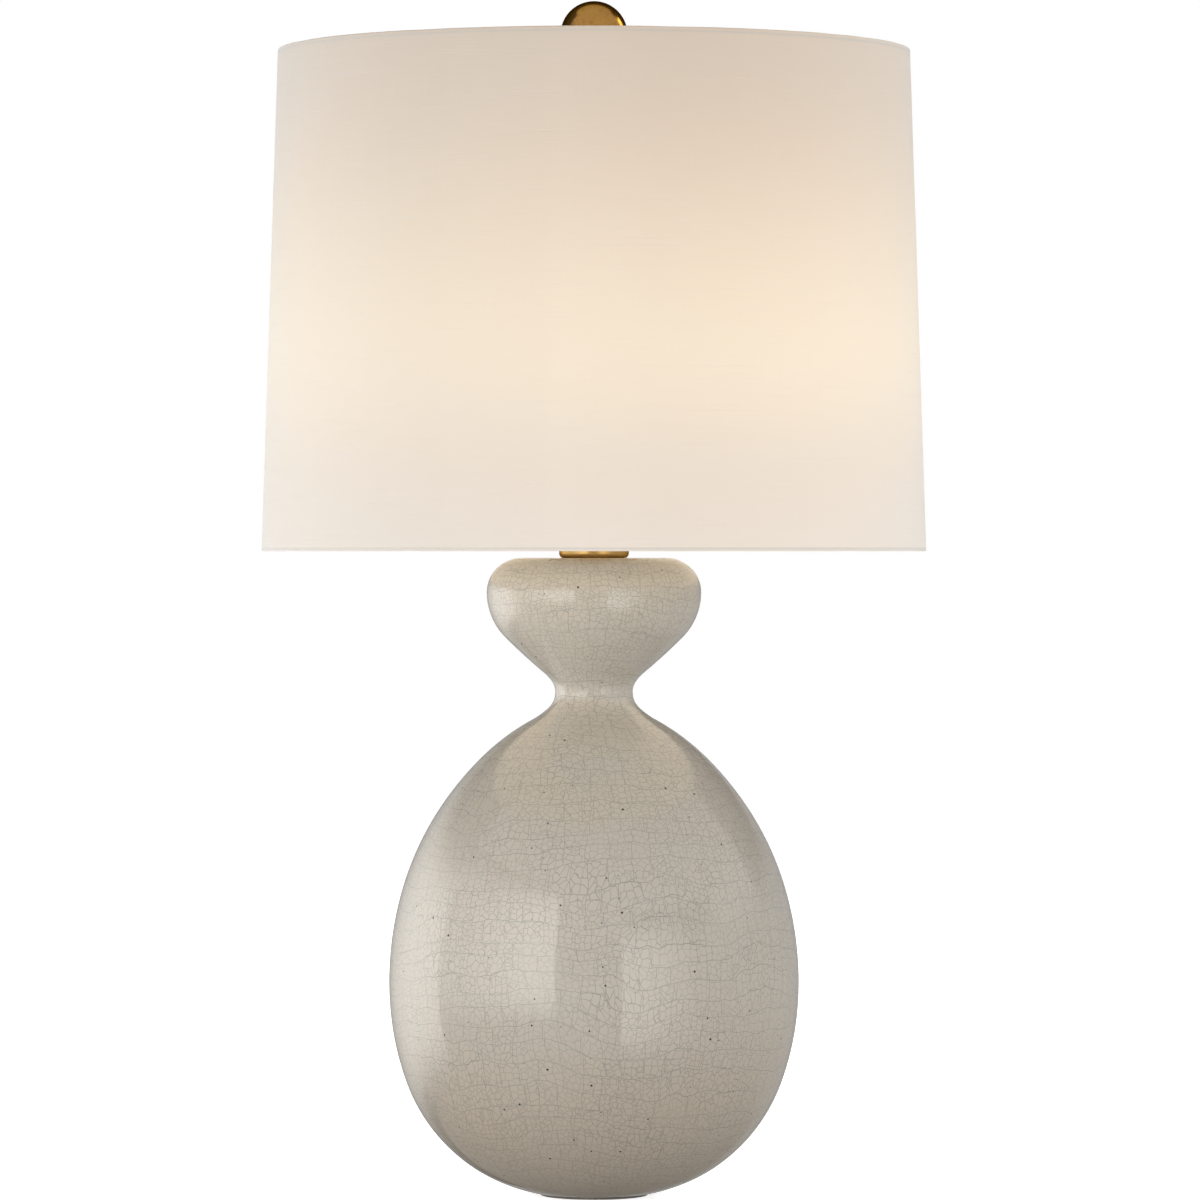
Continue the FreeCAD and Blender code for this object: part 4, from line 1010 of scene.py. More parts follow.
class Repeats:
    """Geometry Nodes trees for what repeats round an axis or follows a line."""

    def __init__(self, materials: dict[Slot, Material]) -> None:
        """Build both trees, and keep the materials for them."""
        self.materials = materials
        self.round_tree = self.build_round()
        self.wire_tree = self.build_wire()

    @staticmethod
    def close(graph: Graph, geometry: Socket, material: Socket, out: Node) -> bpy.types.NodeTree:
        """End a tree in real geometry with its material, and return it."""
        real = graph.result("GeometryNodeRealizeInstances", {0: geometry})
        dressed = graph.result("GeometryNodeSetMaterial", {0: real, "Material": material})
        graph.feed(out, {0: dressed})
        return graph.tree

    def build_round(self) -> bpy.types.NodeTree:
        """Copies of a unit piece, evenly turned about the Z axis."""
        inputs = {"Geometry": None, "Count": None, "Material": None}
        graph, given, out = Graph.group("GeometryNodeTree", "repeat_round", inputs, "Geometry")
        points = graph.result("GeometryNodePoints", {"Count": given["Count"]})
        share = graph.math("DIVIDE", graph.result("GeometryNodeInputIndex"), given["Count"])
        turned = graph.result("ShaderNodeCombineXYZ", {2: graph.product(share, FULL_TURN)})
        copies = graph.result("GeometryNodeInstanceOnPoints", {
            "Points": points, "Instance": given["Geometry"], "Rotation": turned})
        return self.close(graph, copies, given["Material"], out)

    def build_wire(self) -> bpy.types.NodeTree:
        """A round wire along a line of edges, with closed ends."""
        inputs = {"Geometry": None, "Radius": None, "Sides": None, "Material": None}
        graph, given, out = Graph.group("GeometryNodeTree", "round_wire", inputs, "Geometry")
        line = graph.result("GeometryNodeMeshToCurve", {0: given["Geometry"]})
        ring = graph.result("GeometryNodeCurvePrimitiveCircle", {
            "Resolution": given["Sides"], "Radius": given["Radius"]})
        tube = graph.result("GeometryNodeCurveToMesh", {
            "Curve": line, "Profile Curve": ring, "Fill Caps": True})
        return self.close(graph, tube, given["Material"], out)

    def run(self, piece: Piece, tree: bpy.types.NodeTree, slot: Slot, **values: object) -> Piece:
        """Run a tree on a piece and keep the result as its mesh."""
        modifier = piece.modifiers.new(tree.name, "NODES")
        modifier.node_group = tree
        values["Material"] = self.materials[slot]
        for item in tree.interface.items_tree:
            if item.in_out == "INPUT" and item.name in values:
                modifier[item.identifier] = values[item.name]
        return baked(piece)

    def round(self, piece: Piece, slot: Slot, count: int) -> Piece:
        """Repeat a unit piece round the Z axis."""
        return self.run(piece, self.round_tree, slot, Count=count)

    def wire(self, name: str, slot: Slot, points: Sequence[Sequence[float]], radius: float,
             closed: bool = False, sides: int = 16) -> Piece:
        """Make a wire along points.

        Args:
            name: Name of the new object.
            slot: Its finish.
            points: The points of its centre line.
            radius: Radius of the wire.
            closed: Whether the last point joins the first one.
            sides: Number of sides of its section.

        Returns:
            The wire as a plain mesh.
        """
        count = len(points)
        edges = [(index, (index + 1) % count) for index in range(count if closed else count - 1)]
        mesh = bpy.data.meshes.new(name)
        mesh.from_pydata([tuple(point) for point in points], edges, [])
        return self.run(linked(name, mesh), self.wire_tree, slot, Radius=radius, Sides=sides)


class Wardrobe:
    """Holds the finished materials and dresses pieces with them."""

    def __init__(self) -> None:
        """Build the shared effects, then every finish, then the trees for what repeats."""
        Effects().build()
        self.materials = {finish.slot: finish.build() for finish in finishes()}
        self.repeats = Repeats(self.materials)

    def fit(self, piece: Piece, slot: Slot, body: Body, *nodes: str) -> Piece:
        """Dress a new piece, hang it on its body and let it stand for CAD nodes.

        Args:
            piece: The finished piece, in its place.
            slot: Its finish.
            body: The body that it moves with.
            nodes: The CAD nodes that it replaces.

        Returns:
            The piece.
        """
        piece.data.materials.clear()
        piece.data.materials.append(self.materials[slot])
        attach(piece, body.value)
        if nodes:
            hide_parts(*nodes)
        log.info("%s: %d faces, on %s", piece.name, len(piece.data.polygons), body.value)
        return piece

    def fit_all(self, body: Body, *rows: tuple[Piece, Slot, str]) -> None:
        """Dress pieces of one body that each stand for one CAD node."""
        for piece, slot, node in rows:
            self.fit(piece, slot, body, node)

    def keep(self, node: str, slot: Slot) -> None:
        """Dress a CAD node whose shape is right."""
        piece = frame["nodes"][node]
        if not piece.material_slots:
            piece.data.materials.append(self.materials[slot])
        for place in piece.material_slots:
            place.material = self.materials[slot]
        log.info("%s: kept", node)


@dataclass
class Foot:
    """The felt, and the pipe with the washers and nut that clamp the body to it."""

    edge: float = 0.0005
    washer_edge: float = 0.00025
    pipe_bore: float = 0.0035
    nut_across: float = 0.016
    chamfer_share: float = 0.55
    threaded_length: float = 0.018
    segments: int = 96

    def build_ring(self, name: str, node: str) -> Piece:
        """A washer with rounded edges."""
        return washer(name, node, NIPPLE_BORE, (self.washer_edge,) * 4, self.segments)

    def build_nut(self) -> Piece:
        """The hexagonal nut, chamfered at its corners."""
        low, high, _ = span("base_nut")
        flat, corner = self.nut_across / 2, self.nut_across / math.sqrt(3)
        rise, sixth = (corner - flat) * self.chamfer_share, FULL_TURN / 6
        section = [(NIPPLE_BORE, low), (flat, low), (corner, low + rise), (corner, high - rise),
                   (flat, high), (NIPPLE_BORE, high)]

        def hexagon(angle: float, radius: float, height: float) -> Point:
            """Cut six flats."""
            off = (angle + sixth / 2) % sixth - sixth / 2
            return min(radius, flat / math.cos(sixth / 2 - abs(off))), height
        return turn("clamp_nut", section, 144, hexagon)

    def build_pipe(self) -> Piece:
        """The steel pipe, threaded at both ends."""
        low, high, wide = span("lamp_pipe")
        ends = ((low, low + self.threaded_length), (high - self.threaded_length, high))
        wall = [corner for start, end in ends for corner in ladder(wide, start, end, FINE_PITCH / 4)]
        corners = [(self.pipe_bore, low, 0.0), *wall, (self.pipe_bore, high, 0.0)]
        groove = thread(FINE_PITCH, FINE_DEPTH, wide - FINE_DEPTH, *ends)
        return turn("threaded_pipe", rounded(corners), 32, groove)

    def dress(self, wardrobe: Wardrobe) -> None:
        """Build and dress the pieces."""
        felt = washer("felt_disc", "felt_pad", 0.0, (0.0, self.edge, self.edge, 0.0), self.segments)
        wardrobe.fit_all(
            Body.ROOT, (felt, Slot.FELT, "felt_pad"),
            (self.build_ring("pressed_washer", "fibre_washer"), Slot.FIBRE, "fibre_washer"),
            (self.build_ring("steel_washer", "base_washer"), Slot.ZINC_STEEL, "base_washer"),
            (self.build_nut(), Slot.ZINC_STEEL, "base_nut"),
            (self.build_pipe(), Slot.ZINC_STEEL, "lamp_pipe"))


@dataclass
class CeramicBody:
    """The hollow gourd of glazed ceramic, with the bushing of its cord inlet.

    Its outline passes the foot, flank, belly, shoulder, throat, waist, flare, gourd and crown."""

    stations: tuple[Station, ...] = (
        Station(0.0380, 0.0, 11.4), Station(0.0856, 0.0211, 37.3), Station(0.1353, 0.1387, 90.0),
        Station(0.1015, 0.2544, 123.6), Station(0.0409, 0.3124, 151.2), Station(0.0256, 0.3307, 90.0),
        Station(0.0327, 0.3430, 39.9), Station(0.0708, 0.3964, 90.0), Station(0.0474, 0.4191, 180.0))
    wall: float = 0.0065
    foot_ring: float = 0.010
    recess: float = 0.010
    floor: float = 0.008
    crown_hole: float = 0.012
    floor_hole: float = 0.006
    edge: float = 0.0012
    arc_steps: int = 13
    segments: int = 256
    inlet_hole: float = 0.0062
    inlet_barrel: float = 0.0060
    inlet_bore: float = 0.0040
    inlet_flange: float = 0.0095
    inlet_flange_thick: float = 0.0022
    inlet_nut_thick: float = 0.0025
    inlet_nut_gap: float = 0.0005
    inlet_clear: float = 0.0001
    rim: float = 0.0003

    def girth(self) -> tuple[Point, ...]:
        """Radius of the body at some distances along its outline, from the foot up."""
        points = course(self.stations, 2)
        walked = [0.0]
        for here, there in zip(points, points[1:]):
            walked.append(walked[-1] + math.dist(here, there))
        return tuple((way, radius) for way, (radius, _) in zip(walked, points))

    def section(self) -> list[Point]:
        """The closed half section of the wall, above the foot plane."""
        outside = flow(self.stations, self.arc_steps)
        foot, crown = self.stations[0], self.stations[-1]
        shelf, deck = crown.rise - self.wall, self.recess + self.floor
        points = [tuple(point) for point, _ in outside[1:]]
        points += [(self.crown_hole, crown.rise), (self.crown_hole, shelf)]
        inside = [point - normal * self.wall for point, normal in outside[::3]]
        inside = [tuple(point) for point in inside if deck < point.y < shelf - POLE]
        points += [(crown.radius, shelf)] + inside[::-1]
        corners = [(inside[0][0] - self.wall, deck, 0.0), (self.floor_hole, deck, 0.0),
                   (self.floor_hole, self.recess, self.edge),
                   (foot.radius - self.foot_ring, self.recess, self.edge),
                   (foot.radius - self.foot_ring, 0.0, self.edge),
                   (foot.radius, 0.0, self.edge), (*points[0], 0.0)]
        return points + rounded(corners, closed=False)[:-1]

    def inlet(self) -> Matrix:
        """The place of the cord inlet: its origin on the wall, with Z pointing out."""
        mount = next(item for item in frame["record"]["mounts"] if item["name"] == "cord_inlet")
        axis = Vector(mount["axis"])
        length = mount["dims"]["length_mm"] / 1000
        out = Vector(mount["pos_m"]) + axis * (length / 2 - self.inlet_flange_thick)
        return Matrix.Translation(out) @ axis.to_track_quat("Z", "Y").to_matrix().to_4x4()

    def build_body(self) -> Piece:
        """The body, with the hole for the cord's bushing."""
        ground = lifted(z=Room.of("ceramic_body").low.z)
        body = moved(turn("glazed_gourd", self.section(), self.segments), ground)
        bar = rounded(band(0.0, self.inlet_hole, -2 * self.wall, 2 * self.wall, (0.0,) * 4))
        cutter = moved(turn("inlet_cutter", bar, 48), self.inlet())
        cut = body.modifiers.new("inlet", "BOOLEAN")
        cut.operation, cut.solver, cut.object = "DIFFERENCE", "EXACT", cutter
        baked(body)
        bpy.data.objects.remove(cutter)
        return body

    def build_bushing(self) -> Piece:
        """The flanged bushing that lines the inlet."""
        barrel = self.wall + self.inlet_nut_gap + self.inlet_nut_thick
        rim, top = self.rim, self.inlet_flange_thick
        corners = [(self.inlet_bore, -barrel, rim), (self.inlet_barrel, -barrel, rim),
                   (self.inlet_barrel, 0.0, 0.0), (self.inlet_flange, 0.0, rim),
                   (self.inlet_flange, top, 6 * rim), (self.inlet_bore, top, 3 * rim)]
        return moved(turn("inlet_bushing", rounded(corners, 6), 64), self.inlet())

    def build_bushing_nut(self) -> Piece:
        """The ring nut that holds the bushing from inside."""
        top = -self.wall - self.inlet_nut_gap
        corners = band(self.inlet_barrel + self.inlet_clear, self.inlet_flange,
                       top - self.inlet_nut_thick, top, (0.0, self.rim, self.rim, 0.0))
        return moved(turn("inlet_nut", rounded(corners), 48), self.inlet())

    def dress(self, wardrobe: Wardrobe) -> None:
        """Build and dress the pieces."""
        wardrobe.fit_all(
            Body.ROOT, (self.build_body(), Slot.CRACKLE_GLAZE, "ceramic_body"),
            (self.build_bushing(), Slot.BUSHING_PLASTIC, "cord_bushing"),
            (self.build_bushing_nut(), Slot.BUSHING_PLASTIC, "bushing_nut"))


@dataclass
class CapAndNeck:
    """The round-edged brass cap on the crown, and the spool-shaped neck above it."""

    lip: float = 0.006
    recess: float = 0.0015
    foot_edge: float = 0.0046
    top_edge: float = 0.0035
    waist: float = 0.0075
    bead: float = 0.0025
    bead_edge: float = 0.0025 / 2.2
    fine: float = 0.0004

    def build_cap(self) -> Piece:
        """The cap, rounded below and above."""
        low, high, wide = span("vase_cap")
        inside = low + self.recess
        corners = [(wide - self.lip, low, self.fine), (wide, low, self.foot_edge),
                   (wide, high, self.top_edge), (NIPPLE_BORE, high, self.fine),
                   (NIPPLE_BORE, inside, 0.0), (wide - self.lip, inside, 0.0)]
        return turn("brass_cap", rounded(corners, 10), 128)

    def build_neck(self) -> Piece:
        """The neck: a bead at each end and a hollow curve between."""
        low, high, wide = span("neck")
        side = course([Station(wide - self.fine, low + self.bead, 180.0),
                       Station(self.waist, (low + high) / 2, 90.0),
                       Station(wide - self.fine, high - self.bead, 0.0)], 8)
        lower = [(NIPPLE_BORE, low, 0.0), (wide, low, self.bead_edge),
                 (wide, low + self.bead, self.bead_edge),
                 (wide - 2 * self.fine, low + self.bead, 0.0)]
        upper = [(radius, low + high - level, edge) for radius, level, edge in reversed(lower)]
        section = rounded(lower, 6, False) + side[1:-1] + rounded(upper, 6, False)
        return turn("brass_neck", section, 96)

    def dress(self, wardrobe: Wardrobe) -> None:
        """Build and dress the pieces."""
        wardrobe.fit_all(Body.ROOT, (self.build_cap(), Slot.AGED_BRASS, "vase_cap"),
                         (self.build_neck(), Slot.AGED_BRASS, "neck"))
        wardrobe.keep("cap_gasket", Slot.GASKET_RUBBER)


@dataclass
class Harp:
    """The saddle, the wire harp with its stud, and the sleeves that lock its legs."""

    wire: float = 0.00205
    spread: float = 0.028
    straight: float = 0.040
    half_width: float = 0.057
    widest: float = 0.192
    top_half_width: float = 0.012
    boss: float = 0.0065
    seat: float = 0.010
    seat_thick: float = 0.002
    boss_height: float = 0.0073
    stud: float = 0.0031
    stud_height: float = 0.013
    sleeve_bore: float = 0.00365
    edge: float = 0.0004

    def build_wire(self, repeats: Repeats) -> Piece:
        """The bent wire, from one foot over the top to the other."""
        foot, top, _ = span("harp")
        bend = course([Station(self.spread, foot + self.straight, 90.0),
                       Station(self.half_width, foot + self.widest, 90.0),
                       Station(self.top_half_width, top - self.wire, 180.0)], 14)
        points = mirrored([(self.spread, foot), *bend])
        return repeats.wire("harp_wire", Slot.HARP_BRASS, points, self.wire, sides=20)

    def build_stud(self) -> Piece:
        """The stud: a boss over the wire, a round seat and a threaded post."""
        top, soft = Room.of("harp_stud").high.z, 2 * self.edge
        seat_top = top - self.stud_height
        seat_low = seat_top - self.seat_thick
        foot = seat_low - self.boss_height
        corners = [(0.0, foot, 0.0), (self.boss, foot, soft), (self.boss, seat_low, 0.0),
                   (self.seat, seat_low, soft), (self.seat, seat_top, soft),
                   *ladder(self.stud, seat_top, top - soft, FINE_PITCH / 4),
                   (self.stud - soft, top, 0.0), (0.0, top, 0.0)]
        groove = thread(FINE_PITCH, FINE_DEPTH, self.stud - self.edge, (seat_top + FINE_PITCH, top))
        return turn("harp_finial_stud", rounded(corners), 48, groove)

    def build_sleeve(self, node: str) -> Piece:
        """A sleeve with a rolled upper edge."""
        edges = (self.edge, self.edge, 1.5 * self.edge, self.edge)
        sleeve = washer(node.replace("harp_", "locking_"), node, self.sleeve_bore, edges, 48)
        return moved(sleeve, lifted(x=Room.of(node).centre.x))

    def dress(self, wardrobe: Wardrobe) -> None:
        """Build and dress the pieces."""
        brass = Slot.HARP_BRASS
        saddle = eased("harp_saddle", "stamped_saddle", self.edge / 2)
        wardrobe.fit(saddle, brass, Body.ROOT, "harp_saddle")
        wardrobe.fit_all(Body.HARP, (self.build_wire(wardrobe.repeats), brass, "harp"),
                         (self.build_stud(), brass, "harp_stud"))
        for body in (Body.SLEEVE_LEFT, Body.SLEEVE_RIGHT):
            node = f"harp_{body.value}"
            wardrobe.fit(self.build_sleeve(node), brass, body, node)


@dataclass
class LampSocket:
    """The screw socket: spun cap and shell, paper sleeve, block and screw shell."""

    neck: float = 0.0085
    neck_height: float = 0.007
    dish: float = 0.017
    dish_rise: float = 0.010
    cap_rise: float = 0.016
    wall: float = 0.0008
    floor: float = 0.0016
    bead: float = 0.0006
    bead_pitch: float = 0.0026
    bead_rises: tuple[float, float] = (0.009, 0.0355)
    edge: float = 0.0003
    shaft_clear: float = 0.0018
    collar: float = 0.0042
    collar_reach: float = 0.0035

    def build_cap(self) -> Piece:
        """The spun cap on the saddle."""
        low, high, wide = span("socket_cap")
        wall, soft = self.wall, 2.5 * self.wall
        floor = low + self.neck_height + self.floor
        corners = [(NIPPLE_BORE, low, 0.0), (self.neck, low, self.edge),
                   (self.neck, low + self.neck_height, soft),
                   (self.dish, low + self.dish_rise, 2 * soft), (wide, low + self.cap_rise, soft),
                   (wide, high, self.edge), (wide - wall, high, self.edge),
                   (wide - wall, low + self.cap_rise, soft),
                   (self.dish - wall, low + self.dish_rise + wall, soft),
                   (self.neck, floor, soft), (NIPPLE_BORE, floor, 0.0)]
        return turn("spun_cap", rounded(corners, 6), 96)

    def build_shell(self) -> Piece:
        """The shell with two raised beads and a rolled rim."""
        low, high, wide = span("socket_shell")
        outer, inner = wide - self.bead, wide - 2 * self.bead
        beads = [(outer + proud * self.bead, low + rise + offset * self.bead_pitch, self.bead)
                 for rise in self.bead_rises
                 for offset, proud in ((-1.0, 0), (-0.5, 1), (0.5, 1), (1.0, 0))]
        corners = [(outer, low, 0.0), *beads, (outer, high, self.edge), (inner, high, self.edge),
                   (inner, low, 0.0)]
        return turn("spun_shell", rounded(corners, 5), 96)

    def build_sleeve(self) -> Piece:
        """The paper sleeve inside the shell."""
        low, high, wide = span("socket_liner")
        wide -= self.bead
        corners = band(wide - self.wall, wide, low, high, (0.0, 0.0, self.edge, self.edge))
        return turn("paper_sleeve", rounded(corners), 72)

    def build_collar(self) -> Piece:
        """The threaded collar that the dimmer's shaft comes out of."""
        shell = Room.of("socket_shell").radius
        root, tip = shell - 3 * self.bead, shell + self.collar_reach
        corners = [(self.shaft_clear, root, 0.0), *ladder(self.collar, root, tip, self.bead / 3),
                   (self.shaft_clear, tip, self.edge)]
        groove = thread(self.bead, self.edge, self.collar - self.edge, (root, tip))
        ring = turn("dimmer_collar", rounded(corners), 40, groove)
        return moved(ring, lifted(z=Room.of("dimmer_shaft").centre.z) @ FORWARD)

    def dress(self, wardrobe: Wardrobe) -> None:
        """Build and dress the pieces."""
        brass = Slot.SOCKET_BRASS
        wardrobe.fit_all(Body.ROOT, (self.build_cap(), brass, "socket_cap"),
                         (self.build_shell(), brass, "socket_shell"))
        wardrobe.fit(self.build_collar(), brass, Body.ROOT)
        wardrobe.fit(self.build_sleeve(), Slot.SOCKET_PAPER, Body.ROOT, "socket_liner")
        for node, slot in (("socket_set_screw", Slot.ZINC_STEEL), ("terminal_screws", brass),
                           ("socket_block", Slot.PHENOLIC), ("socket_contact", brass),
                           ("socket_screw_shell", Slot.SHELL_ALUMINIUM)):
            name = "inner_" + node.replace("socket_", "")
            wardrobe.fit(eased(node, name, self.edge / 2), slot, Body.ROOT, node)


@dataclass
class Dimmer:
    """The rotary dimmer's shaft and its ribbed knob, pointing to the front."""

    edge: float = 0.0004
    dome: float = 0.0008
    face: float = 0.7
    face_edge: float = 0.0012
    face_soft: float = 0.001
    rib_count: int = 28
    rib_radius: float = 0.00055
    rib_inset: float = 0.0004
    core_share: float = 0.93
    bore: float = 0.0017
    bore_depth: float = 0.008

    def placed(self, piece: Piece, room: Room) -> Piece:
        """Point a piece made along +Z to the front, from the back of a room."""
        return moved(piece, lifted(y=room.high.y, z=room.centre.z) @ FORWARD)

    def build_shaft(self, room: Room) -> Piece:
        """The round shaft with a softened tip."""
        length = room.high.y - room.low.y
        corners = band(0.0, room.radius, 0.0, length, (0.0, self.edge, self.edge, 0.0))
        return self.placed(turn("brass_shaft", rounded(corners), 32), room)

    def build_core(self, radius: float, height: float) -> Piece:
        """The knob's core with its skirt and slightly domed face."""
        core, edge = radius * self.core_share, self.edge
        corners = [(self.bore, 0.0, 0.0), (radius, 0.0, edge), (radius, 2 * edge, edge),
                   (core, 4 * edge, edge), (core, height - self.dome, self.face_edge),
                   (core * self.face, height - self.dome * 0.4, self.face_soft), (0.0, height, 0.0),
                   (0.0, self.bore_depth, 0.0), (self.bore, self.bore_depth, 0.0)]
        return turn("knob_core", rounded(corners, 6), 72)

    def build_ribs(self, radius: float, height: float, repeats: Repeats) -> Piece:
        """Grip ribs round the core."""
        wide = self.rib_radius
        low, high = 5 * self.edge, height - self.dome - self.face_edge
        bar = [(0.0, low), (wide, low + wide), (wide, high - wide), (0.0, high)]
        rib = moved(turn("knob_ribs", bar, 8), lifted(x=radius - self.rib_inset - wide))
        return repeats.round(rib, Slot.KNOB_PLASTIC, self.rib_count)

    def dress(self, wardrobe: Wardrobe) -> None:
        """Build and dress the pieces."""
        shaft, knob, plastic = Room.of("dimmer_shaft"), Room.of("dimmer_knob"), Slot.KNOB_PLASTIC
        radius, height = knob.height / 2, knob.high.y - knob.low.y
        wardrobe.fit_all(
            Body.DIMMER, (self.build_shaft(shaft), Slot.SOCKET_BRASS, "dimmer_shaft"),
            (self.placed(self.build_core(radius, height), knob), plastic, "dimmer_knob"))
        ribs = self.build_ribs(radius, height, wardrobe.repeats)
        wardrobe.fit(self.placed(ribs, knob), plastic, Body.DIMMER)


@dataclass
class Bulb:
    """The glowing frosted bulb on its threaded base."""

    globe: float = 0.030
    neck: float = 0.01275
    straight: float = 0.008
    glass_wall: float = 0.001
    insulator_tip: float = 0.0040
    contact_share: float = 0.8
    base_cone: float = 0.003
    base_wall: float = 0.0005
    pitch: float = 0.0036
    thread_depth: float = 0.0009
    edge: float = 0.0004
    filament: float = 0.000125
    coil_radius: float = 0.0011
    coil_turns: int = 16
    coil_steps: int = 12
    stem: float = 0.004
    stem_flare: float = 0.005
    filament_half_width: float = 0.008

    def build_glass(self) -> Piece:
        """The frosted globe with its neck, a wall thick."""
        low, high, _ = span("bulb_glass")
        outer, inner = [course([Station(self.neck - inset, low + self.straight, 90.0),
                                Station(self.globe - inset, high - self.globe, 90.0),
                                Station(0.0, high - inset, 180.0)], 16)
                        for inset in (0.0, self.glass_wall)]
        foot = [(self.neck - self.glass_wall, low), (self.neck, low)]
        return turn("frosted_globe", foot + outer + inner[::-1], 96)

    def build_base(self) -> Piece:
        """The threaded shell, drawn in to the insulator below."""
        low, high, wide = span("bulb_base")
        tip = Room.of("bulb_insulator").radius
        start, end = low + self.base_cone, high - 2 * self.base_wall
        inner = wide - self.thread_depth - 2 * self.base_wall
        corners = [(tip - self.base_wall, low, 0.0), (tip, low, self.edge),
                   *ladder(wide, start, end, self.pitch / 8), (wide, high, self.edge),
                   (wide - self.base_wall, high, 0.0), (inner, end, 0.0), (inner, start, 0.0)]
        groove = thread(self.pitch, self.thread_depth, wide - POLE, (start, end))
        return turn("threaded_base", rounded(corners), 72, groove)

    def build_plug(self, name: str, node: str, tip: float, edge: float, segments: int) -> Piece:
        """A solid cone that widens upward from its tip."""
        low, high, wide = span(node)
        corners = [(0.0, low, 0.0), (tip, low, edge), (wide, high, self.edge), (0.0, high, 0.0)]
        return turn(name, rounded(corners), segments)

    def build_stem(self) -> Piece:
        """The flared glass stem that carries the filament."""
        low, high, wide = span("bulb_stem")
        corners = [(0.0, low, 0.0), (wide, low, self.edge), (wide, low + self.glass_wall, self.edge),
                   (self.stem, low + self.stem_flare, 4 * self.edge),
                   (self.stem, high, 2 * self.edge), (0.0, high, 0.0)]
        return turn("glass_stem", rounded(corners, 6), 48)

    def build_filament(self, repeats: Repeats) -> Piece:
        """Two supports and the fine coil between their tips."""
        low, high, _ = span("bulb_filament")
        top, half = high - self.coil_radius - self.filament, self.filament_half_width
        bend = course([Station(self.stem / 2, low, 90.0), Station(half, (low + top) / 2, 90.0),
                       Station(half / 2, top, 135.0)], 8)
        count = self.coil_turns * self.coil_steps
        coil = []
        for step in range(1, count):
            angle = FULL_TURN * step / self.coil_steps
            coil.append((half / 2 - half * step / count, self.coil_radius * math.sin(angle),
                         top + self.coil_radius * (math.cos(angle) - 1.0)))
        return repeats.wire("filament", Slot.FILAMENT_WIRE, mirrored(bend, coil), self.filament,
                            sides=8)

    def dress(self, wardrobe: Wardrobe) -> None:
        """Build and dress the pieces."""
        tip = Room.of("bulb_contact").radius * self.contact_share
        wardrobe.fit_all(
            Body.BULB, (self.build_glass(), Slot.FROSTED_GLASS, "bulb_glass"),
            (self.build_base(), Slot.SHELL_ALUMINIUM, "bulb_base"),
            (self.build_plug("black_insulator", "bulb_insulator", self.insulator_tip, self.edge, 64),
             Slot.INSULATOR_GLASS, "bulb_insulator"),
            (self.build_plug("solder_tip", "bulb_contact", tip, 2 * self.edge, 40),
             Slot.ZINC_STEEL, "bulb_contact"),
            (self.build_stem(), Slot.STEM_GLASS, "bulb_stem"),
            (self.build_filament(wardrobe.repeats), Slot.FILAMENT_WIRE, "bulb_filament"))


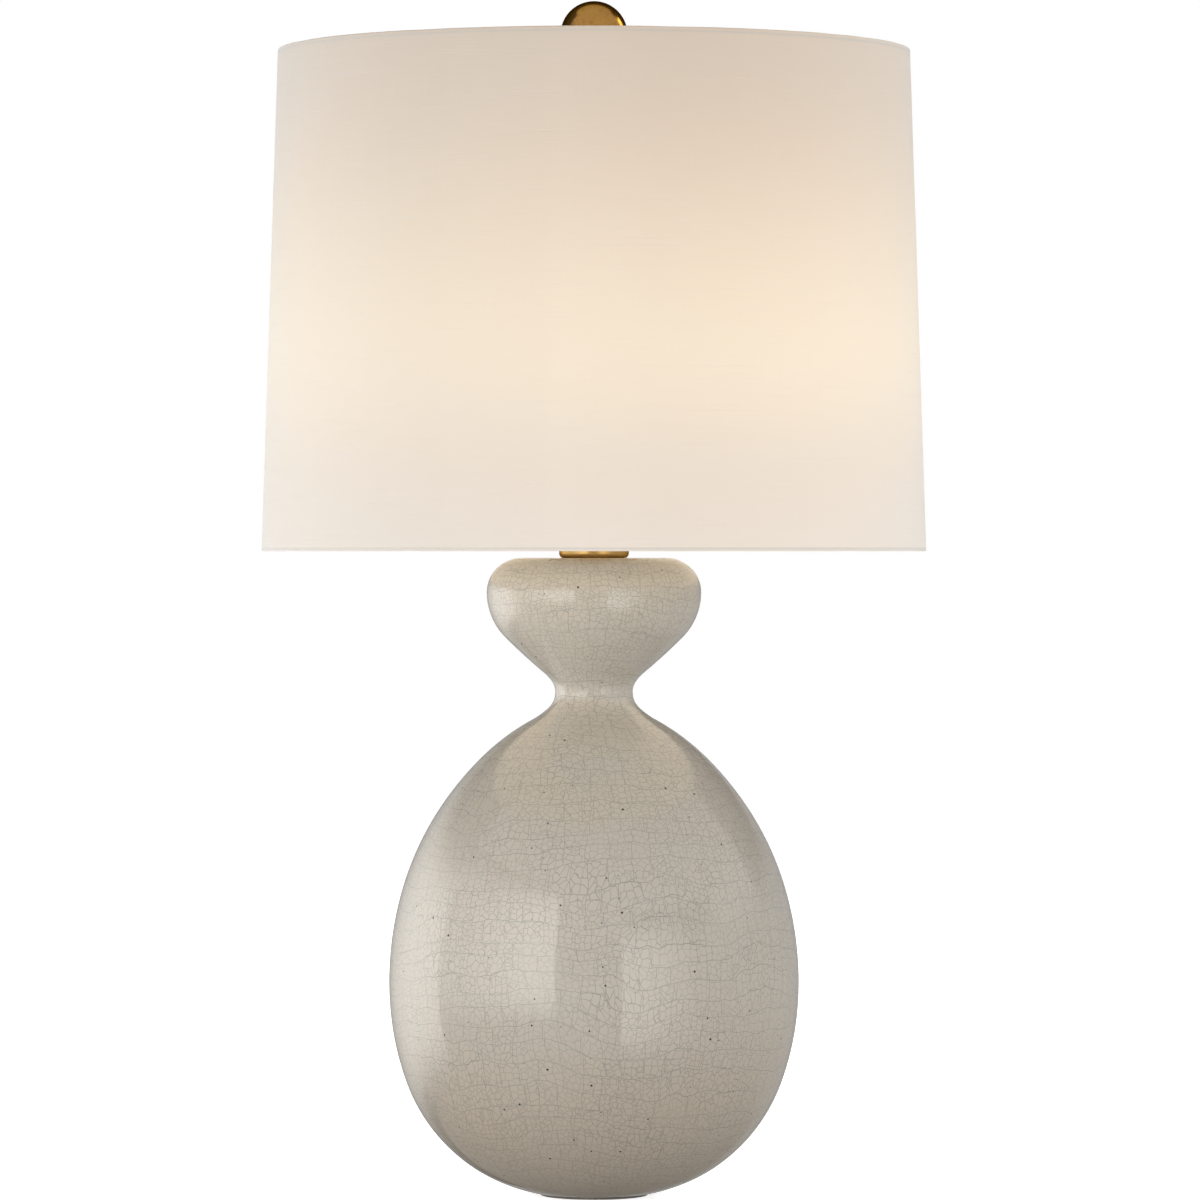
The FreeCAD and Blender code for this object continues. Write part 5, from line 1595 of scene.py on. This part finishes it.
@dataclass
class Shade:
    """The drum shade: linen with turned hems on a stiff liner, two rings and the spider."""

    cloth: float = 0.0008
    gap: float = 0.0001
    liner: float = 0.0008
    hem: float = 0.012
    ring_wire: float = 0.0013
    fold: float = 0.0011
    fine: float = 0.0002
    wander: float = 0.00022
    waves: tuple[Corner, ...] = ((9.0, 1.0, 0.5), (23.0, 0.4, 0.3), (41.0, 0.0, 0.2))
    bows: tuple[Corner, ...] = ((5.0, 0.0, 0.3), (13.0, 2.0, 0.3))
    seam_width: float = 0.014
    seam_proud: float = 0.0007
    seam_columns: int = 8
    seam_rows: int = 60
    seam_sharp: float = 80.0
    hub: float = 0.014
    hub_bore: float = 0.0033
    hub_thick: float = 0.002
    arm_wire: float = 0.0016
    arm_start: float = 0.011
    arm_foot: float = 0.020
    arm_shoulder: float = 0.044
    arm_bend: float = 0.006
    arm_count: int = 3
    segments: int = 288
    wall_rows: int = 40

    def __post_init__(self) -> None:
        """Take the drum's size from the frame; the rings inside the cloth show how it tapers."""
        self.room = Room.of("shade_fabric")
        lower, upper = Room.of("shade_bottom_ring"), Room.of("shade_top_ring")
        self.slope = (lower.radius - upper.radius) / (upper.centre.z - lower.centre.z)
        self.hem_width = 2 * self.cloth + 3 * self.gap + self.liner + 2 * self.ring_wire

    def wall(self, up: float, inset: float) -> Point:
        """A point of the sloping wall at a height over the lower edge."""
        return self.room.radius - self.slope * up - inset, self.room.low.z + up

    def build_cloth(self) -> Piece:
        """The linen, folded round both rings and turned in."""
        high, width, cloth, hem = self.room.height, self.hem_width, self.cloth, self.hem
        outer = [(high * step / self.wall_rows, 0.0, 0.0) for step in range(1, self.wall_rows)]
        path = [(0.0, 0.0, self.fold)] + outer + [
            (high, 0.0, self.fold), (high, width, self.fold), (high - hem, width, cloth / 3),
            (high - hem, width - cloth, cloth / 3), (high - cloth, width - cloth, self.fine),
            (high - cloth, cloth, self.fine), (cloth, cloth, self.fine),
            (cloth, width - cloth, self.fine), (hem, width - cloth, cloth / 3),
            (hem, width, cloth / 3), (0.0, width, self.fold)]
        section = [self.wall(up, inset) for up, inset in rounded(path, 5)]
        low, top = self.room.low.z, self.room.high.z

        def strayed(angle: float, parts: Sequence[Corner]) -> float:
            """How far the cloth strays, from waves with a count, a start and a share."""
            return self.wander * sum(math.sin(times * angle + start) * share
                                     for times, start, share in parts)

        def uneven(angle: float, radius: float, height: float) -> Point:
            """Let the folds wander a little, as hand-turned hems do."""
            near_low = max(0.0, 1.0 - (height - low) / self.hem)
            near_top = max(0.0, 1.0 - (top - height) / self.hem)
            rise = strayed(angle, self.waves) * (near_low - near_top)
            lift = max(rise, 0.0) * (near_low > 0) + min(rise, 0.0) * (near_top > 0)
            return radius - abs(strayed(angle, self.bows)), height + lift
        return turn("linen_drum", section, self.segments, uneven)

    def build_seam(self) -> Piece:
        """The glued lap of the linen at the back, a strip that is thickest in the middle."""
        shares = [column / self.seam_columns for column in range(self.seam_columns + 1)]
        ring = [(share, 1.0) for share in shares] + [(share, 0.0) for share in shares[-2:0:-1]]
        high, count = self.room.height - 4 * self.fold, len(ring)
        vertices = []
        for row in range(self.seam_rows + 1):
            up = 2 * self.fold + high * row / self.seam_rows
            for share, side in ring:
                proud = self.seam_proud * min(1.0, 6 * min(share, 1 - share)) * side
                radius, level = self.wall(up, 4 * self.fine - proud)
                angle = math.pi / 2 + (share - 0.5) * self.seam_width / radius
                vertices.append((radius * math.cos(angle), radius * math.sin(angle), level))
        last = self.seam_rows * count
        faces = [tuple(range(count - 1, -1, -1)), tuple(range(last, last + count))]
        for first in range(0, last, count):
            for here in range(count):
                there = (here + 1) % count
                faces.append((first + here, first + there, first + count + there, first + count + here))
        spots = [(math.atan2(vertices[index][1], vertices[index][0]) / FULL_TURN, vertices[index][2])
                 for face in faces for index in face]
        mesh = meshed("linen_seam", vertices, faces, spots)
        return linked("linen_seam", smooth(mesh, self.seam_sharp))

    def build_liner(self) -> Piece:
        """The stiff white backing."""
        lift, high = self.cloth + self.gap, self.room.height
        corners = band(lift, high - lift, lift, lift + self.liner, (self.fine,) * 4)
        section = [self.wall(up, inset) for up, inset in rounded(corners)]
        return turn("stiff_liner", section, self.segments)

    def build_ring(self, node: str, repeats: Repeats) -> Piece:
        """A coated wire ring in the fold of a hem."""
        room = Room.of(node)
        points = circle(room.radius - self.ring_wire, room.centre.z, self.segments // 2)
        name = node.replace("shade_", "wire_")
        return repeats.wire(name, Slot.RING_WIRE, points, self.ring_wire, closed=True, sides=12)

    def build_hub(self) -> Piece:
        """The stamped washer in the middle of the spider."""
        low, edge = Room.of("shade_spider").low.z, 2 * self.fine
        corners = band(self.hub_bore, self.hub, low, low + self.hub_thick, (edge, edge, 2 * edge, edge))
        return turn("spider_hub", rounded(corners), 96)

    def build_arms(self, repeats: Repeats) -> Piece:
        """The arms that reach from the hub to the upper ring."""
        room, ring = Room.of("shade_spider"), Room.of("shade_top_ring")
        low = room.low.z + self.hub_thick + self.arm_wire / 2
        top = room.high.z - self.arm_wire
        reach = ring.radius - 2 * self.ring_wire - self.gap
        bends = [(self.arm_start, low, 0.0), (self.arm_foot, low, self.arm_bend),
                 (self.arm_shoulder, top, self.arm_bend), (reach, top, 0.0)]
        points = [(0.0, across, up) for across, up in rounded(bends, 8, False)]
        arm = repeats.wire("spider_arms", Slot.HARP_BRASS, points, self.arm_wire)
        return repeats.round(arm, Slot.HARP_BRASS, self.arm_count)

    def dress(self, wardrobe: Wardrobe) -> None:
        body, brass, repeats = Body.SHADE, Slot.HARP_BRASS, wardrobe.repeats
        cloth = wardrobe.fit(self.build_cloth(), Slot.LINEN, body, "shade_fabric")
        seam = wardrobe.fit(self.build_seam(), Slot.LINEN, body)
        liner = wardrobe.fit(self.build_liner(), Slot.STYRENE, body, "shade_liner")
        rings = [wardrobe.fit(self.build_ring(node, repeats), Slot.RING_WIRE, body, node)
                 for node in ("shade_bottom_ring", "shade_top_ring")]
        wardrobe.fit_all(body, (self.build_hub(), brass, "shade_spider"),
                         (self.build_arms(repeats), brass, "shade_spider"))


@dataclass
class Finial:
    """The aged brass ball and the turned base under it."""

    bore: float = 0.0032
    bore_depth: float = 0.0128
    flange_thick: float = 0.002
    neck: float = 0.0052
    neck_start: float = 0.0045
    neck_end: float = 0.011
    seat: float = 0.0060
    edge: float = 0.0005
    ball_steps: int = 48

    def build_ball(self) -> Piece:
        """The ball, flat where it sits on its base."""
        _, top, radius = span("finial_ball")
        start = math.asin(self.seat / radius)
        angles = [start + (math.pi - start) * step / self.ball_steps for step in range(self.ball_steps)]
        side = [(radius * math.sin(angle), top - radius - radius * math.cos(angle)) for angle in angles]
        return turn("brass_ball", [(0.0, side[0][1]), *side, (0.0, top)], 128)

    def build_base(self) -> Piece:
        """The base: a flange, a waist and a collar under the ball."""
        low, _, wide = span("finial_base")
        _, top, radius = span("finial_ball")
        seat, edge = top - radius - math.sqrt(radius ** 2 - self.seat ** 2), self.edge
        corners = [(self.bore, low, edge / 2), (wide, low, edge),
                   (wide, low + self.flange_thick, 2 * edge),
                   (self.neck, low + self.neck_start, 3 * edge),
                   (self.neck, low + self.neck_end, 2 * edge), (self.seat, seat, edge / 2),
                   (0.0, seat, 0.0), (0.0, low + self.bore_depth, 0.0),
                   (self.bore, low + self.bore_depth, 0.0)]
        return turn("turned_base", rounded(corners, 6), 72)

    def dress(self, wardrobe: Wardrobe) -> None:
        """Build and dress the pieces."""
        wardrobe.fit_all(Body.FINIAL, (self.build_ball(), Slot.AGED_BRASS, "finial_ball"),
                         (self.build_base(), Slot.AGED_BRASS, "finial_base"))


@dataclass(frozen=True)
class SoftBox:
    """An upright light panel or card, bent round the lamp.

    Angles are in degrees from the camera, positive to its left. A panel is brightest at its near
    edge, and a card has one tone below the split, near the shade's top, and another above it."""

    name: str
    near: float
    far: float
    low: float
    high: float
    strength: float
    fade: float = 0.0
    distance: float = 2.2
    reflected: bool = True
    lights: bool = True
    above: float | None = None
    tint: Colour = (1.0, 0.985, 0.96)
    bend: float = 9.0
    split: float = 0.80
    blend: float = 0.03

    def build(self) -> None:
        """Make the panel."""
        count = max(1, round(abs(self.far - self.near) / self.bend))
        vertices, faces, spots = [], [], []
        for step in range(count + 1):
            turned = math.radians(self.near + (self.far - self.near) * step / count)
            side = (-self.distance * math.sin(turned), -self.distance * math.cos(turned))
            vertices += [(*side, self.low), (*side, self.high)]
        for step in range(count):
            here, there = step / count, (step + 1) / count
            faces.append((2 * step, 2 * step + 2, 2 * step + 3, 2 * step + 1))
            spots += [(here, 0), (there, 0), (there, 1), (here, 1)]
        unseen = ["camera", "transmission", "shadow"]
        unseen += ["glossy"] * (not self.reflected) + ["diffuse"] * (not self.lights)
        self.paint(staged(self.name, meshed(self.name, vertices, faces, spots), *unseen))

    def paint(self, graph: Graph) -> None:
        """Light that fades from the near edge to the far one, and softly above and below."""
        along = graph.result("ShaderNodeUVMap", uv_map="surface")
        across, up = graph.axis(along, 0), graph.axis(along, 1)
        if self.above is not None:
            share = (self.split - self.low) / (self.high - self.low)
            power = graph.ease(up, share - self.blend, share + self.blend, self.strength, self.above)
        else:
            off = graph.math("ABSOLUTE", graph.math("SUBTRACT", up, 0.5))
            power = graph.product(graph.ease(across, 0.0, 1.0, 1.0, 1.0 - self.fade),
                                  graph.ease(off, 0.22, 0.50, 1.0, 0.05), self.strength)
        light = graph.result("ShaderNodeEmission", {"Color": self.tint, "Strength": power})
        graph.node("ShaderNodeOutputMaterial", {"Surface": light})


def staged(name: str, mesh: bpy.types.Mesh, *unseen: str) -> Graph:
    """Put a light, card or floor on the stage, hidden from some kinds of rays.

    Args:
        name: Name of the object and of its material.
        mesh: Its mesh.
        unseen: Blender's names of the rays that pass it.

    Returns:
        The empty graph of its material.
    """
    piece = linked(name, mesh)
    for ray in unseen:
        setattr(piece, f"visible_{ray}", False)
    material = bpy.data.materials.new(name)
    mesh.materials.append(material)
    return Graph.blank(material)


@dataclass
class Studio:
    """The camera, the pale floor, the white background and the soft light.

    The cellar and the ceiling are wide discs that only reflections show."""

    distance: float = 4.315
    level: float = 0.425
    focal_pixels: float = 6537.0
    sensor_width: float = 36.0
    pixels_across: int = 1200
    horizon_pixel: float = 551.2
    axis_pixel: float = 594.0
    floor_radius: float = 15.0
    floor_hole: float = 0.0350
    floor_white: float = 0.80
    floor_lift: float = 0.80
    floor_grey: float = 0.67
    ambient: float = 0.32
    cellar_level: float = -1.0
    cellar_tone: Colour = (0.26, 0.235, 0.20)
    ceiling_level: float = 3.6
    ceiling_split: float = 1.70
    ceiling_blend: float = 0.3
    ceiling_front: Colour = (0.60, 0.59, 0.57)
    ceiling_rear: Colour = (0.09, 0.09, 0.09)
    disc_radius: float = 4.3
    plate_steps: int = 64
    panels: tuple[SoftBox, ...] = (
        SoftBox("panel_left", 20.8, 95.0, -0.52, 1.70, 2.45, 0.68),
        SoftBox("panel_edge", 95.0, 172.0, -1.00, 1.35, 1.85, 0.85, lights=False),
        SoftBox("panel_right", -15.2, -72.0, -1.15, 1.10, 2.0, 0.90),
        SoftBox("panel_glint", -110.0, -125.0, 0.86, 1.12, 4.2, distance=0.5, lights=False),
        SoftBox("bounce_left", 25.0, 115.0, 0.0, 0.44, 2.8, distance=0.9, reflected=False),
        SoftBox("fill_front", 28.0, -28.0, -0.10, 0.95, 2.5, reflected=False),
        SoftBox("fill_left", 68.0, 145.0, -0.10, 1.30, 3.1, reflected=False, tint=COOL),
        SoftBox("fill_right", -45.0, -130.0, 0.25, 1.55, 3.8, reflected=False, tint=COOL),
        SoftBox("fill_back", 150.0, 210.0, -0.20, 1.20, 3.0, reflected=False),
        SoftBox("card", 95.0, -115.0, -1.0, 3.6, 0.30, distance=2.45, lights=False, above=0.62),
        SoftBox("card_rear", -115.0, -265.0, -1.0, 3.6, 0.36, distance=2.45, lights=False, above=0.08))

    def build_camera(self) -> None:
        """A long lens, level with the lower edge of the shade."""
        middle = self.pixels_across / 2
        data = bpy.data.cameras.new("camera")
        data.sensor_width = self.sensor_width
        data.lens = self.focal_pixels / self.pixels_across * self.sensor_width
        data.clip_start, data.clip_end = 0.1, 100.0
        camera = linked("camera", data)
        aside = (middle - self.axis_pixel) * self.distance / self.focal_pixels
        camera.location = (aside, -self.distance, self.level)
        drop = math.atan((middle - self.horizon_pixel) / self.focal_pixels)
        camera.rotation_euler = (math.pi / 2 - drop, 0.0, 0.0)
        bpy.context.scene.camera = camera

    @staticmethod
    def seen(graph: Graph) -> Socket:
        """1 for rays that show the background: straight, mirrored or through glass."""
        rays = graph.node("ShaderNodeLightPath").outputs
        some = graph.math("MAXIMUM", rays["Is Camera Ray"], rays["Is Glossy Ray"])
        return graph.math("MAXIMUM", some, rays["Is Transmission Ray"])

    def plate(self, name: str, level: float, *radii: float) -> bpy.types.Mesh:
        """A level disc, or a ring between two radii, the inner one first."""
        count = self.plate_steps
        rims = [point for radius in radii for point in circle(radius, level, count)]
        faces = [tuple(range(count))]
        if len(radii) > 1:
            faces = [(step, count + step, count + (step + 1) % count, (step + 1) % count)
                     for step in range(count)]
        return meshed(name, rims, faces)

    def build_floor(self) -> None:
        """A plain pale floor: white with the lamp's shadow from above, clear from below.

        A hole that the felt covers lets the light from below reach the lamp's underside."""
        mesh = self.plate("floor", 0.0, self.floor_hole, self.floor_radius)
        graph = staged("floor", mesh, "glossy")
        pale = graph.result("ShaderNodeBsdfDiffuse", {"Color": (self.floor_white,) * 3})
        lift = graph.result("ShaderNodeEmission", {"Strength": self.floor_lift})
        bright = graph.result("ShaderNodeAddShader", {0: pale, 1: lift})
        grey = graph.result("ShaderNodeBsdfDiffuse", {"Color": (self.floor_grey,) * 3})
        both = graph.result("ShaderNodeMixShader", {0: self.seen(graph), 1: grey, 2: bright})
        below = graph.node("ShaderNodeNewGeometry").outputs["Backfacing"]
        clear = graph.result("ShaderNodeBsdfTransparent")
        whole = graph.result("ShaderNodeMixShader", {0: below, 1: both, 2: clear})
        graph.node("ShaderNodeOutputMaterial", {"Surface": whole})

    def build_disc(self, name: str, level: float, front: Colour, rear: Colour) -> None:
        """A disc with one tone towards the camera, and one over and behind the lamp."""
        graph = staged(name, self.plate(name, level, self.disc_radius), "camera", "diffuse",
                       "transmission", "shadow")
        depth = graph.axis(graph.node("ShaderNodeTexCoord").outputs["Object"], 1)
        behind = graph.ease(depth, self.ceiling_split - self.ceiling_blend,
                            self.ceiling_split + self.ceiling_blend)
        light = graph.result("ShaderNodeEmission", {"Color": graph.mix(behind, front, rear)})
        graph.node("ShaderNodeOutputMaterial", {"Surface": light})

    def build_world(self) -> None:
        """A white background that lights the lamp only softly."""
        world = bpy.data.worlds.new("studio")
        bpy.context.scene.world = world
        graph = Graph.blank(world)
        strength = graph.ease(self.seen(graph), 0.0, 1.0, self.ambient, 1.0)
        inputs = {"Color": (1.0, 1.0, 1.0), "Strength": strength}
        graph.node("ShaderNodeOutputWorld", {"Surface": graph.result("ShaderNodeBackground", inputs)})

    def build(self) -> None:
        """Set up the whole studio."""
        self.build_camera()
        self.build_floor()
        self.build_disc("cellar", self.cellar_level, self.cellar_tone, self.cellar_tone)
        self.build_disc("ceiling", self.ceiling_level, self.ceiling_front, self.ceiling_rear)
        self.build_world()
        for panel in self.panels:
            panel.build()
        bpy.context.scene.view_settings.view_transform = "Standard"


def main() -> None:
    """Build the studio and the lamp, from the foot to the finial."""
    logging.basicConfig(level=logging.INFO, format="%(name)s: %(message)s")
    Studio().build()
    wardrobe = Wardrobe()
    for assembly in (Foot(), CeramicBody(), CapAndNeck(), Harp(), LampSocket(), Dimmer(), Bulb(),
                     Shade(), Finial()):
        assembly.dress(wardrobe)


if __name__ == "__main__":
    main()
